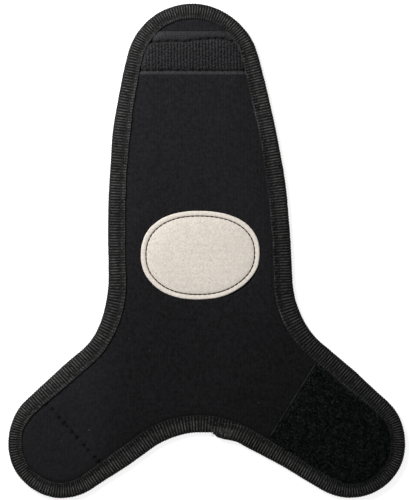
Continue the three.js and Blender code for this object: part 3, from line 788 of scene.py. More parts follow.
def swollen(piece, held):
    """Cloth simulation with pressure from inside. The rise of each point is kept within FOAM_SWELL."""
    rest = metres(piece.data)
    group = piece.vertex_groups.new(name="held")
    group.add([int(i) for i in np.flatnonzero(held > 0.5)], 1.0, "REPLACE")
    cloth = piece.modifiers.new("swell", "CLOTH")
    settings = cloth.settings
    settings.quality = 5
    settings.mass = 0.2
    settings.air_damping = 2
    settings.tension_stiffness = 12
    settings.compression_stiffness = 12
    settings.shear_stiffness = 5
    settings.bending_stiffness = 0.6
    settings.use_pressure = True
    settings.uniform_pressure_force = 4
    settings.vertex_group_mass = "held"
    settings.effector_weights.gravity = 0
    cloth.collision_settings.use_collision = False
    scene = bpy.context.scene
    for step in range(1, SWELL_FRAMES + 1):
        scene.frame_set(step)
    change = metres(piece.evaluated_get(bpy.context.evaluated_depsgraph_get()).data) - rest
    piece.modifiers.remove(cloth)
    piece.vertex_groups.remove(group)
    scene.frame_set(1)
    cap = FOAM_SWELL / 1000
    change[:, 2] = cap * np.tanh(change[:, 2] / cap)
    change[:, :2] = 0
    return rest + change


def patch_press(xy):
    """How far the strip, the loop patch and the badge press into the front, in millimetres."""
    on_strip = smooth(xy[:, 1], STRIP_BOTTOM - 0.1, STRIP_BOTTOM + 0.6)
    on_strip *= 1 - smooth(xy[:, 1], STRIP_TOP - 0.6, STRIP_TOP + 0.1)
    on_loop = smooth(past_cut(xy, LOOP_CUT), -0.1, 0.6)
    on_badge = smooth(badge_inset(xy), -0.3, 0.7)
    return CLOTH * np.maximum(np.maximum(on_strip, on_loop), on_badge * 1.1)


def foam_tone(xy):
    """0 where the cloth is blackest, 1 where it is greyest: painted light over the tongue, its tip and the left
    arm, painted shade on the right arm, and a random wave of tone.
    """
    tongue = smooth(xy[:, 1], -40, 10)
    left = 0.84 * smooth(-xy[:, 0], 30, 62) * (1 - smooth(xy[:, 1], -55, -20))
    right = -0.35 * smooth(xy[:, 0], 5, 40) * (1 - smooth(xy[:, 1], -60, -20))
    tip = 0.32 * smooth(xy[:, 1], 104, 110)
    return np.clip(0.30 + 0.50 * tongue + tip + left + right + 0.10 * waves(xy, 26, 3.3), 0, 1.2)


def build_foam():
    xy, triangles, border = foam_mesh()
    inset = open_inset_of(xy)
    top = front_profile(inset) - seam_press(xy) * (inset > 8)
    bottom = back_profile(inset_of(xy))
    points, faces = closed_body(xy, triangles, border, top, bottom)
    piece = make_mesh("pad_foam", points, faces, KNIT, "foam", node="foam_panel")
    held = np.concatenate([pinned(xy, inset), np.ones(len(xy))])
    rest = swollen(piece, held)
    piece.data.vertices.foreach_set("co", rest.astype(np.float32).ravel())
    finer = piece.modifiers.new("finer", "SUBSURF")
    finer.levels = finer.render_levels = 1
    evaluated = piece.evaluated_get(bpy.context.evaluated_depsgraph_get())
    old = piece.data
    piece.data = bpy.data.meshes.new_from_object(evaluated)
    piece.modifiers.remove(finer)
    bpy.data.meshes.remove(old)
    mesh = piece.data
    points = metres(mesh) * 1000 - [SHIFT_X, SHIFT_Y, 0]
    xy, z = points[:, :2], points[:, 2]
    front = z > 1.8
    inset = open_inset_of(xy)
    inner = smooth(inset, 9.0, 14.0)
    ripple = 0.16 * waves(xy, 24, 0.7) + 0.07 * waves(xy, 9, 5.1)
    z += np.where(front, ripple * inner, 0.10 * np.abs(ripple) * inner)
    form = BVHTree.FromPolygons([Vector(p) for p in points], [tuple(p.vertices) for p in mesh.polygons])

    # What follows isn't in the form that patches and stitches lie on
    pucker = (xy[:, 0] < -20) & (np.abs(off_line(xy, REAR_SEAM)) < 4)
    gather = 0.10 * np.sin(((xy - REAR_SEAM[0]) @ REAR_SEAM[1]) * 2 * math.pi / 4.6)
    z += np.where(front & pucker, gather * inner, 0)
    shade = np.ones(len(xy))
    strength = np.clip(random.normal(0.95, 0.20, len(REAR_HOLES)), 0.5, 1.25)
    strength[REAR_HOLES[:, 1].argsort()[-2:]] *= 0.5
    for strong, dent, dark in zip(strength, spots(xy, REAR_HOLES, 0.70), spots(xy, REAR_HOLES, 0.86)):
        z -= np.where(front, 0.85 * strong * dent, 0)
        shade *= 1 - np.clip(0.9 * strong, 0, 0.95) * dark
    shade *= 1 - 0.42 * (1 - smooth(off_path(xy, REAR_HOLES), 0.2, 0.8))
    lower = np.clip(-EDGE_NY[nearest_station(xy)], 0, 1)
    shade *= 1 - 0.58 * lower * bell(inset - 8.4, 0.55)
    z -= np.where(front, patch_press(xy), 0)
    z += np.where(front, 0, 0.16 * back_press(xy) * smooth(inset, 8.4, 10.0))
    rear = smooth(past_cut(xy, REAR_CUT), -0.3, 0.5) * (xy[:, 0] < -20)
    z[:] = np.where(front, z, np.maximum(z, 1.16 * rear))
    set_points(mesh, points)
    set_values(mesh, {"tone": foam_tone(xy), "shade": np.where(front, shade, 1)})
    mesh.polygons.foreach_set("use_smooth", np.ones(len(mesh.polygons), bool))
    mesh.update()
    return form


FORM = build_foam()


def form_height(xy):
    """Height of the front before patches press it in."""
    heights = []
    for px, py in xy:
        hit = FORM.ray_cast(Vector((px, py, 20)), Vector((0, 0, -1)))[0]
        heights.append(hit.z if hit else FOAM_FRONT)
    return np.array(heights)


def under_tape(ground, inset, free):
    """A patch's heights, kept below the tape's flange up to where the patch is free of it."""
    held = 1 - smooth(inset, 8.0, free)
    return ground * (1 - held) + np.minimum(ground, UNDER_FLANGE) * held


# Binding tape

# The tape's section as inset and height: front flange from its open edge out to the fold, back flange, inside.
FRONT_SECTION = [
    (8.10, 3.02), (8.24, 3.20), (8.10, 3.48), (7.82, 3.50), (7.3, 3.42), (6.7, 3.42), (6.35, 3.38),
    (5.98, 3.33), (5.6, 3.44), (5.2, 3.54), (4.4, 3.64), (3.4, 3.68), (2.4, 3.66), (1.6, 3.58), (1.0, 3.42),
    (0.48, 3.14), (0.08, 2.72), (-0.18, 2.2),
]
BACK_SECTION = [
    (-0.18, 1.5), (0.08, 0.98), (0.48, 0.55), (0.95, 0.24), (1.5, 0.06), (2.3, 0.0), (4.4, 0.0), (5.3, 0.06),
    (5.65, 0.14), (5.98, 0.30), (6.35, 0.20), (7.0, 0.14), (7.85, 0.14), (8.2, 0.36), (8.1, 0.58),
]
INNER_SECTION = [(4.5, 0.60), (1.3, 0.68), (0.55, 1.3), (0.55, 2.3), (1.3, 2.92), (4.5, 3.0)]
TAPE_LENGTH = EDGE_LENGTH + LAP_LENGTH
FOLD_OUTWARD = 1.30
EDGE_OUTWARD = 2.85
STITCH_PITCH = EDGE_LENGTH / round(EDGE_LENGTH / 3.95)


def cut_at(inset):
    """How far along the tape its slanted cut lies at an inset."""
    return CUT_SLANT * (1 - inset / TAPE_WIDTH)


def lap_outward(distance, inset, front):
    """How far the lap's outer layer reaches outward, and how much its open edge is drawn out by it."""
    share = np.clip(inset / TAPE_WIDTH, 0, 1)
    bulge = smooth(distance, 3.4, 6.4) * (1 - smooth(distance, 9, 17))
    fold = 0.1 * ramped(distance, 0, LAP_LENGTH) + (FOLD_OUTWARD - 0.1) * bulge
    open_edge = EDGE_OUTWARD * (1 - smooth(distance, 1, LAP_LENGTH))
    return np.where(front, fold * (1 - share) + open_edge * share, fold * (1 - share))


def lap_lift(distance, front, flange):
    """How far a lapped layer lies above the other: the outer on the front, the inner on the back."""
    outer = ramped(distance, 0, LAP_LENGTH)
    inner = ramped(distance, EDGE_LENGTH, TAPE_LENGTH)
    return LAP_RISE * flange * np.where(front, outer, inner)


def slow(distance, size, seed):
    """Smooth noise along the tape."""
    return np.array([noise.noise((d / size, seed, 0.5)) for d in distance])


# Stretches of tape given painted light where the share is above zero, and painted shade where it is below: middle
# and half-width along it, and the share added
TAPE_PAINTED_LIGHT = [
    (574, 24, 0.92), (183, 40, -0.38), (669, 24, 0.32), (619, 14, -0.16), (500, 36, -0.14), (12, 16, -0.15),
]


def build_tape():
    section = np.array(FRONT_SECTION + BACK_SECTION + INNER_SECTION)
    count = len(section)
    front = np.zeros(count, bool)
    front[: len(FRONT_SECTION)] = True
    front[-3:] = True
    outside = np.arange(count) < len(FRONT_SECTION) + len(BACK_SECTION)
    inset, height = section.T
    around = np.gradient(section, axis=0)
    around /= np.linalg.norm(around, axis=1, keepdims=True)
    normal = np.stack([around[:, 1], -around[:, 0]], -1)
    flange = np.clip((inset - 0.3) / 1.0, 0.5, 1)
    ribbed = np.interp(inset, [-0.2, 0.3, 1.2, 5.3, 5.95, 6.4, 7.6, 8.1, 8.22],
                       [0.35, 0.6, 1.0, 1.0, 0.8, 0.95, 0.95, 0.7, 0.35]) * outside
    ribbed[0] = ribbed[len(FRONT_SECTION) + len(BACK_SECTION) - 1] = 0
    ribs = round(TAPE_LENGTH / RIB_PITCH)
    pitch = TAPE_LENGTH / ribs
    quarter = np.arange(ribs * 4 + 1)
    rib = (quarter + 1) // 4
    shift = random.normal(0, 0.05, ribs + 2)[rib]
    mark = quarter * pitch / 4 + shift * np.isin(quarter % 4, (0, 1, 3))
    mark[0], mark[-1] = 0, TAPE_LENGTH
    crest = np.array([1.0, 0.24, 0.0, 0.24])[quarter % 4]
    proud = random.normal(0, 0.04, ribs + 2)[rib]
    bright = random.normal(0, 0.07, ribs + 2)[rib]
    starts = cut_at(inset)
    at = np.maximum(mark[:, None], starts[None, :])
    crest_at = np.interp(at.ravel(), mark, crest).reshape(at.shape)
    ruffled = bell(mark - 8.5, 4.6)[:, None] * (1 - smooth(inset, 4.2, 6.0))
    knots = random.normal(0, 1, at.shape)
    hollow = (1 - crest_at) * RIB_DEPTH * (1 - 0.75 * ruffled) - proud[:, None] * crest_at + 0.07 * ruffled * knots
    front_of = np.broadcast_to(front, at.shape)
    depth = inset - normal[:, 0] * ribbed * hollow
    z = height - normal[:, 1] * ribbed * hollow
    gather = slow(mark, 2.6, 8.2)[:, None] * smooth(inset, 6.2, 8.0) * 0.16
    depth += slow(mark, 9, 2.4)[:, None] * smooth(inset, 5.0, 8.0) * 0.30 + gather * 0.8
    z += np.where(front_of, gather, -0.3 * np.abs(gather))
    bulge = (0.10 * slow(mark, 14, 6.6) + 0.09 * slow(mark, 2.6, 4.9))[:, None] * (1 - smooth(inset, 0, 3))
    depth += bulge * outside
    depth -= wander(mark)[:, None] * (1 - 0.6 * np.clip(inset / TAPE_WIDTH, 0, 1))
    depth += np.where(front_of, narrowed(mark[:, None], inset[None, :]), 0)
    depth += 0.25 * smooth(mark, EDGE_LENGTH - 1, EDGE_LENGTH + 3)[:, None] * (1 - smooth(inset, 0, 3))
    nearest = (mark / STITCH_PITCH + 0.5) % 1 - 0.5
    hole = bell(nearest * STITCH_PITCH, 0.55)[:, None] * bell(inset - 5.98, 0.52)
    z -= np.where(front_of, 0.28, -0.12) * hole * outside
    depth -= lap_outward(at, inset[None, :], front_of)
    z += lap_lift(at, front_of, flange[None, :])
    z = np.maximum(z, 0.0)
    x, y, nx, ny = edge_at(at.ravel())
    points = np.column_stack([x - nx * depth.ravel(), y - ny * depth.ravel(), z.ravel()])
    lines = points.reshape(len(mark), count, 3)
    for column, begin in enumerate(starts):
        first = max(int(np.searchsorted(mark, begin, side="right")) - 1, 0)
        lines[:first, column] = lines[first, column]
    # Painted light and shade across the tape: darker down the fold's outer side and in the seam's channel, lighter
    # on its flat top, and the inner part painted darker or lighter by the way its edge faces the light.
    light_and_tone = np.interp(inset, [-0.2, 0.5, 0.9, 1.3, 1.8, 2.4, 3.6, 4.3, 5.0, 5.9, 6.5, 8.0],
                     [0.50, 0.58, 0.70, 0.92, 1.06, 1.06, 1.02, 0.96, 0.86, 0.58, 0.64, 0.71])
    facing_x, facing_y = nx.reshape(at.shape), ny.reshape(at.shape)
    inner = smooth(inset, 5.4, 6.6)[None, :]
    light_and_tone = light_and_tone[None, :] * (1 - inner * (0.24 + 0.13 * facing_x - 0.19 * facing_x ** 2))
    # Painted light and painted shade in stretches along the tape, a broad step of tone, and a slow random change
    # of tone.
    light_and_tone_along = 0.10 * (smooth(mark, 250, 300) - smooth(mark, 60, 110))
    for middle, half, more in TAPE_PAINTED_LIGHT:
        light_and_tone_along += more * bell(mark - middle, half)
    light_and_tone_along += 0.10 * slow(mark, 40, 1.7)
    # Painted shade on the inner part beside the loop patch, where its pile shades the tape.
    beside_pile = smooth(mark, 36, 50) * (1 - smooth(mark, 128, 142))
    light_and_tone = light_and_tone * (1 + light_and_tone_along[:, None]) * (1 - 0.12 * beside_pile[:, None] * inner)
    # The ribs' tone: painted highlights on the crests, narrower towards the inner part, and painted shade in the
    # hollows; the weft's random change from thread to thread stands for the glints of the weave, also painted
    # highlights.
    weft = 1 + random.normal(0, 1, at.shape) * outside * (0.38 + 0.26 * inner)
    narrow = crest_at ** (1.3 + 0.8 * inner)
    rib_tone = (0.01 + (1.44 + 0.34 * inner + bright[:, None]) * narrow * weft) * light_and_tone
    rib_tone = rib_tone * (1 - 0.9 * ruffled) + (0.80 + 1.05 * knots) * 0.9 * ruffled * light_and_tone
    # Along the open edge: a painted highlight where the edge faces the light, broken up at random, and painted
    # shade where it faces away, beside the loop pile and in the notch.
    rim = bell(inset - 8.0, 0.25) * (height > 3.3) * front
    facing = 1 - smooth(facing_y, -0.25, 0.45)
    facing = np.maximum(facing, 1 - smooth(np.abs(facing_y), 0.55, 0.8))
    broken = np.clip(0.55 + 1.1 * slow(mark, 1.7, 9.9)[:, None] + 0.5 * slow(mark, 9, 5.9)[:, None], 0, 1.2)
    facing = np.maximum(facing, 0.6 * (smooth(mark, 134, 146) - smooth(mark, 168, 190))[:, None])
    in_notch = smooth(mark, 688, 702)
    rim_light = facing * broken * (1 - 0.8 * beside_pile - 0.9 * in_notch)[:, None] * (1 + 0.3 * facing_x)
    blend = np.where(inset < 2, 1.0, np.clip(ribbed * 1.3, 0, 1)) * outside
    tone = blend * rib_tone + (1 - blend) * 0.35
    # Painted shade in the needle holes.
    tone = tone * (1 - 0.92 * hole * outside)
    tone = tone * (1 - rim) + rim * (0.24 + 1.15 * rim_light)
    tone = tone * (0.35 + 0.65 * outside)
    faces = [grid_faces(len(mark), count, wrap_columns=True)]
    faces.append(np.arange(count)[None, ::-1])
    faces.append((len(mark) - 1) * count + np.arange(count)[None, :])
    piece = make_mesh("pad_tape", points, faces, TAPE, "tape", {"tone": np.clip(tone, 0, 3)}, "edge_binding")
    body = bmesh.new()
    body.from_mesh(piece.data)
    bmesh.ops.remove_doubles(body, verts=body.verts, dist=2e-6)
    bmesh.ops.recalc_face_normals(body, faces=body.faces)
    body.to_mesh(piece.data)
    body.free()


build_tape()


# Stitches

def stitches(holes, heights, rise, dip, radius, fill=0.96, count=7, sides=6):
    """A thread between each two holes that climbs out of one and dives into the next."""
    share = np.linspace(0.5 - fill / 2, 0.5 + fill / 2, count)
    a, b = holes[:-1, None], holes[1:, None]
    xy = a + (b - a) * share[None, :, None]
    base = heights[:-1, None] + (heights[1:, None] - heights[:-1, None]) * share
    arch = np.sin(np.linspace(0, math.pi, count)) ** 0.5
    z = base - dip + (rise + dip) * arch
    thick = radius * (0.6 + 0.4 * arch)
    return tubes(np.concatenate([xy, z[..., None]], -1), np.broadcast_to(thick, z.shape), sides)


def tape_seam(side):
    many = round(EDGE_LENGTH / STITCH_PITCH)
    at = np.arange(many + 1) * STITCH_PITCH
    front = narrowed(at, TAPE_SEAM_INSET) if side > 0 else 0
    holes = inset_xy(at, TAPE_SEAM_INSET - 0.02 - 0.55 * wander(at) + front)
    holes[-1] = holes[0]
    if side > 0:
        edge = TAPE_WIDTH - EDGE_OUTWARD * (1 - smooth(at, 1, LAP_LENGTH))
        over = smooth(edge, 6.2, 6.9) * ramped(at, 0, LAP_LENGTH)
        over = np.where(at > LAP_LENGTH + LAP_RAMP, 0, over)
        return stitches(holes, 3.15 + LAP_RISE * over, 0.12, 0.16, 0.12)
    return turned_over(*stitches(holes, np.full(many + 1, -0.42), 0.16, 0.12, 0.16))


def back_seam(line, level):
    """Bobbin stitches along a straight seam, at a level above the plane that the pad lies on."""
    ends = line_inside(line, 9.5)
    many = max(2, round(np.hypot(*(ends[-1] - ends[0])) / 3.1))
    holes = np.linspace(ends[0], ends[-1], many + 1)
    points, faces = stitches(holes, np.full(many + 1, -level), 0.10, 0.25, 0.15)
    points[:, 2] = np.minimum(points[:, 2], -0.01)
    return turned_over(points, faces)


THREADS = [
    ("tape_stitches_front", "binding_needle_thread", tape_seam(1), TAPE_THREAD),
    ("tape_stitches_back", "binding_bobbin_thread", tape_seam(-1), BLACK_THREAD),
]
for label, node, holes, raised, material in (
    ("strip_stitches_lower", "hook_strip_lower_needle_thread", LOWER_HOLES, 0.10, BLACK_THREAD),
    ("strip_stitches_upper", "hook_strip_upper_needle_thread", UPPER_HOLES, 0.10, BLACK_THREAD),
    ("loop_stitches", "loop_patch_needle_thread", LOOP_HOLES, 0.25, BLACK_THREAD),
    ("rear_stitches", "rear_patch_needle_thread", REAR_HOLES, -0.10, TAPE_THREAD),
):
    THREADS.append((label, node, stitches(holes, form_height(holes) + raised, 0.16, 0.25, 0.18, 0.94), material))
for label, node, line, level in (
    ("strip_lower_back_stitches", "hook_strip_lower_bobbin_thread", STRIP_SEAMS[0], 0.24),
    ("strip_upper_back_stitches", "hook_strip_upper_bobbin_thread", STRIP_SEAMS[1], 0.24),
    ("loop_back_stitches", "loop_patch_bobbin_thread", LOOP_SEAM, 0.24),
    ("rear_back_stitches", "rear_patch_bobbin_thread", REAR_SEAM, 0.78),
):
    THREADS.append((label, node, back_seam(line, level), BLACK_THREAD))
for label, node, body, material in THREADS:
    make_mesh(label, *body, material, "thread", node=node)


# Strip of hooks

def hook_paths(feet, lean, height, reach):
    """One J-shaped filament for each foot, bent over towards its lean."""
    bend = np.array([(0, 0), (0.02, 0.35), (0.03, 0.68), (0.14, 0.90), (0.40, 1.0), (0.68, 0.90), (0.80, 0.66)])
    out = bend[:, 0] * reach
    up = bend[:, 1]
    paths = np.zeros((len(feet), len(bend), 3))
    paths[:, :, :2] = feet[:, None, :2] + lean[:, None, :] * out[None, :, None]
    paths[:, :, 2] = feet[:, None, 2] + up[None] * height[:, None]
    return paths


HOOK_RADII = np.array([0.17, 0.16, 0.155, 0.16, 0.16, 0.14, 0.10])
# Tone along each hook from foot to tip: a painted highlight on the bend.
HOOK_HIGHLIGHT = np.array([0.0, 0.0, 0.1, 0.55, 1.0, 0.8, 0.3])
HOOK_SIDES = 5


def hook_turns(many):
    """Which way hooks bend: to one side or the other, and a little astray."""
    return np.where(random.random(many) < 0.5, 0, math.pi) + random.normal(0, 0.35, many)


def hook_piece(name, body, strength):
    """Hooks with a painted highlight at the bend, each by its own strength."""
    tone = np.clip(np.outer(strength, np.repeat(HOOK_HIGHLIGHT, HOOK_SIDES)), 0, 1)
    make_mesh(name, *body, NYLON, "hooks", {"tone": tone})


def build_strip():
    bottom_edge, top_edge = STRIP_BOTTOM - 0.5, STRIP_TOP
    across = np.linspace(-60, 60, 481)
    rows = np.linspace(bottom_edge, top_edge, 84)
    sides = []
    for level in rows:
        deep = across[open_inset_of(np.column_stack([across + TONGUE[0], np.full(len(across), level)])) > 7.2]
        sides.append((deep.min() + TONGUE[0], deep.max() + TONGUE[0]))
    columns = 150
    share = np.linspace(0, 1, columns)
    grid = np.array([[(a + (b - a) * s, level) for s in share] for level, (a, b) in zip(rows, sides)])
    xy = grid.reshape(-1, 2)
    inset = open_inset_of(xy)
    ground = form_height(xy) + 0.14
    low, high = xy[:, 1] - bottom_edge, top_edge - xy[:, 1]
    lower_seam = np.abs(off_line(xy, STRIP_SEAMS[0]))
    upper_seam = off_path(xy, UPPER_HOLES)
    above = xy[:, 1] - np.interp(xy[:, 0], UPPER_HOLES[:, 0], UPPER_HOLES[:, 1])
    selvedge = (1 - smooth(low, 1.4, 2.0)) + smooth(above, 0.0, 0.8)
    roll = np.sqrt(np.clip(np.minimum(low, high) / 0.4, 0, 1))
    puff = 0.30 * np.sin(np.clip(high / np.maximum(high + above, 0.1), 0, 1) * math.pi) * (above > 0)
    puff += 0.10 * np.sin(np.clip(low / 1.8, 0, 1) * math.pi) * (low < 1.8)
    ground += puff - 0.20 * (1 - roll)
    ground -= 0.20 * bell(lower_seam, 0.45) + 0.24 * bell(upper_seam, 0.5)
    shade = np.ones(len(xy))
    for holes, depth, dark in ((LOWER_HOLES, 0.24, 0.95), (UPPER_HOLES, 0.36, 0.84)):
        for dent, spot in zip(spots(xy, holes, 0.55), spots(xy, holes, 0.64, 1.6)):
            ground -= depth * dent
            shade *= 1 - dark * spot
    wale = np.cos((xy[:, 0] - TONGUE[0]) * 2 * math.pi / HOOK_PITCH)
    field = smooth(low, 2.4, 3.0) * smooth(-above, 0.4, 0.9)
    ground += 0.10 * wale * field
    ground = under_tape(ground, inset, 8.7)
    # Painted light: on the lower selvedge against the shade of its rolled edge, on the hook field's ground against
    # the shade between the hooks, a little more on the raised wales, and on the row just above the lower selvedge
    # against the shade of the first hooks.
    lower_light = 1 - smooth(low, 1.4, 2.0)
    tone = np.clip(selvedge, 0, 1) * (0.36 + 0.44 * lower_light + 0.22 * waves(xy, 2.2, 4.2))
    tone += 0.10 * smooth(high, 2.4, 0.6) + field * (0.08 + 0.04 * wale)
    tone += 0.30 * smooth(low, 1.5, 2.0) * (1 - smooth(low, 2.7, 3.3))
    tone -= 0.30 * bell(upper_seam, 0.34) + 0.10 * bell(lower_seam, 0.26)
    columns_across = np.arange(columns)
    outline = np.concatenate([
        columns_across,
        np.arange(1, len(rows)) * columns + columns - 1,
        (len(rows) - 1) * columns + columns_across[-2::-1],
        np.arange(len(rows) - 2, 0, -1) * columns,
    ])
    points, faces = closed_body(xy, grid_faces(len(rows), columns), outline, ground, ground - 0.42)
    tone = np.clip(np.concatenate([tone, tone * 0]), 0, 1)
    shade = np.concatenate([shade, np.ones(len(xy))])
    make_mesh("strip_ground", points, faces, HOOK_GROUND, "hooks", {"tone": tone, "shade": shade}, "hook_strip")
    feet = []
    for column in np.arange(-21, 22):
        x = TONGUE[0] + column * HOOK_PITCH
        for level in np.arange(bottom_edge + 2.9, top_edge - 4.3, 0.85):
            zigzag = 0.20 * (-1) ** len(feet)
            feet.append((x + zigzag + random.normal(0, 0.08), level + random.normal(0, 0.12)))
    feet = np.array(feet)
    seam_at = np.interp(feet[:, 0], UPPER_HOLES[:, 0], UPPER_HOLES[:, 1])
    feet = feet[(open_inset_of(feet) > 8.7) & (feet[:, 1] < seam_at - 1.0)]
    base = form_height(feet) + 0.10
    turn = hook_turns(len(feet))
    lean = np.column_stack([np.sin(turn) * 0.9, np.cos(turn)])
    lean /= np.linalg.norm(lean, axis=1, keepdims=True)
    height = np.clip(random.normal(0.92, 0.09, len(feet)), 0.6, 1.1)
    paths = hook_paths(np.column_stack([feet, base]), lean, height, 0.95)
    strength = np.clip(random.normal(0.75, 0.3, len(paths)), 0.1, 1.3)
    hook_piece("strip_hooks", tubes(paths, HOOK_RADII, HOOK_SIDES), strength)


build_strip()


# Patch of loops

def on_cut(cut, point):
    return cut[0] + cut[2] * ((point - cut[0]) @ cut[2])


def arm_region(cut, inset, step):
    """The border of an arm's end, past a straight cut, counter-clockwise."""
    stations = np.arange(0, EDGE_LENGTH, step)
    points = inset_xy(stations, inset + narrowed(stations, inset))
    past = past_cut(points, cut)
    keep = (past > 0) & (past < 70) & (np.abs((points - cut[0]) @ cut[2]) < 45)
    start = int(np.flatnonzero(keep & ~np.roll(keep, 1))[0])
    run = points[(start + np.arange(int(keep.sum()))) % len(points)]
    return np.concatenate([run, straight(on_cut(cut, run[-1]), on_cut(cut, run[0]), step)])


LOOP_TRIES = 16000
LOOP_COUNT = 4200


def build_loops():
    border = arm_region(LOOP_CUT, 6.9, 0.9)
    lines = [(line_inside(beside(LOOP_CUT, out), 8.2, 0.8), False) for out in (0.35, 0.75, 1.3)]
    xy, triangles, rim = flat_mesh(border, lines, 0.62, 0.33)
    inset = open_inset_of(xy)
    past = past_cut(xy, LOOP_CUT)
    ground = form_height(xy) + 0.16
    pile = smooth(past, 0.8, 2.2) * smooth(inset, 8.0, 9.2)
    tuft = waves(xy, 0.72, 2.0)
    broad = waves(xy, 2.6, 6.0)
    ground += pile * (0.52 + 0.34 * tuft + 0.16 * broad)
    ground += 0.16 * bell(past - 0.42, 0.30) - 0.3 * (1 - smooth(past, 0, 0.3))
    ground = under_tape(ground, inset, 8.8)
    broken = 0.75 + 0.9 * waves(xy, 2.6, 1.5) + 0.5 * waves(xy, 0.9, 4.5)
    # Painted light in the crevice beside the tape, against the shade that the tape casts on the patch's edge.
    beside_tape = 0.30 * (1 - smooth(inset, 8.2, 9.6))
    tone = np.clip(0.16 + 0.75 * tuft * pile + 0.25 * broad + beside_tape, 0, 1) * smooth(past, 0.9, 1.8)
    points, faces = closed_body(xy, triangles, rim, ground, ground - 0.45 - 0.5 * pile)
    tone = np.concatenate([np.clip(tone, 0, 1), np.zeros(len(xy))])
    pale = np.concatenate([np.clip(bell(past - 0.40, 0.22) * broken, 0, 1), np.zeros(len(xy))])
    make_mesh("loop_ground", points, faces, PILE_GROUND, "loops", {"tone": tone, "pale": pale}, "loop_patch")
    feet = random.uniform(xy.min(0), xy.max(0), (LOOP_TRIES, 2))
    feet = feet[inside_polygon(feet, border)]
    feet = feet[(open_inset_of(feet) > 8.3) & (past_cut(feet, LOOP_CUT) > 1.2)]
    feet = feet[:LOOP_COUNT]
    turn = random.uniform(0, 2 * math.pi, len(feet))
    size = random.uniform(0.35, 0.85, len(feet))
    height = np.clip(random.normal(0.52, 0.2, len(feet)), 0.15, 0.95)
    lean = random.normal(0, 0.25, (len(feet), 2))
    base = form_height(feet) + 0.45
    steps = np.array([0, 0.12, 0.5, 0.88, 1.0])
    rise = np.array([0.0, 0.65, 1.0, 0.65, 0.0])
    paths = np.zeros((len(feet), len(steps), 3))
    way = np.column_stack([np.cos(turn), np.sin(turn)])
    paths[:, :, :2] = feet[:, None] + way[:, None] * (steps - 0.5)[None, :, None] * size[:, None, None]
    paths[:, :, :2] += lean[:, None] * rise[None, :, None]
    paths[:, :, 2] = base[:, None] + rise[None] * height[:, None]
    points, faces = tubes(paths, 0.10, 3)
    clumps = np.clip(0.85 + 1.9 * waves(feet, 1.15, 7.7), 0.1, 2.2)
    tone = np.repeat(np.clip(random.gamma(0.55, 0.40, len(feet)) * clumps, 0.01, 1.3), len(steps) * 3)
    # Each loop is painted lighter at the top of its arch and darker at its feet: painted light and painted shade.
    tone = tone * np.tile(np.repeat([0.2, 0.7, 1.0, 0.7, 0.2], 3), len(feet))
    make_mesh("loop_filaments", points, faces, PILE, "loops", {"tone": tone})


build_loops()


# Patch of hooks behind the left arm

def build_rear_patch():
    border = arm_region(REAR_CUT, 3.0, 1.2)
    lines = [(line_inside(beside(REAR_CUT, out), 6, 1.0), False) for out in (0.6, 1.6, 2.6)]
    xy, triangles, rim = flat_mesh(border, lines, 1.0, 0.5)
    inset = inset_of(xy)
    past = past_cut(xy, REAR_CUT)
    seam = bell(past - PATCH_SEAM, 0.5)
    face = 0.62 + 0.12 * seam + 0.10 * (1 - smooth(past, 0, 0.5))
    wale = np.cos(past * 2 * math.pi / HOOK_PITCH)
    face = face + 0.04 * wale * smooth(past, 2.4, 3.0)
    face = np.maximum(face, 0.64 * (inset < 8.2))
    points, faces = closed_body(xy, triangles, rim, np.full(len(xy), 1.12), face)
    selvedge = 1 - smooth(past, 2.0, 2.8)
    tone = np.concatenate([np.zeros(len(xy)), np.clip(0.8 * selvedge - 0.6 * seam + 0.1 * wale, 0, 1)])
    values = {"tone": tone, "shade": np.ones(len(tone))}
    make_mesh("rear_ground", points, faces, HOOK_GROUND, "hooks", values, "rear_hook_patch")
    feet = []
    for out in np.arange(3.4, 60, HOOK_PITCH):
        for along in np.arange(-30, 30, 0.95):
            feet.append(REAR_CUT[0] + REAR_CUT[1] * (out + random.normal(0, 0.08))
                        + REAR_CUT[2] * (along + random.normal(0, 0.1)))
    feet = np.array(feet)
    feet = feet[inset_of(feet) > 9.0]
    turn = hook_turns(len(feet))
    lean = np.cos(turn)[:, None] * REAR_CUT[2] + np.sin(turn)[:, None] * REAR_CUT[1]
    height = np.clip(random.normal(0.54, 0.03, len(feet)), 0.4, 0.58)
    paths = hook_paths(np.column_stack([feet, np.full(len(feet), -0.66)]), lean, height, 0.9)
    body = turned_over(*tubes(paths, HOOK_RADII * 0.8, HOOK_SIDES))
    hook_piece("rear_hooks", body, np.full(len(paths), 0.8))


build_rear_patch()


# Badge

# The badge's section as inset and height above the form, from its rolled edge over the seam to the middle
BADGE_SECTION = [
    (0.16, -0.30), (0.10, 0.05), (0.14, 0.28), (0.24, 0.46), (0.42, 0.56), (0.7, 0.60), (1.1, 0.61), (1.5, 0.60),
    (1.85, 0.56), (2.1, 0.50), (2.3, 0.43), (2.5, 0.38), (2.7, 0.43), (2.95, 0.50), (3.3, 0.56), (3.8, 0.61),
    (4.5, 0.65), (5.4, 0.68), (6.6, 0.71), (8.2, 0.73), (10.2, 0.75), (12.6, 0.76), (15.2, 0.77), (18.0, 0.77),
    (20.2, 0.77),
]


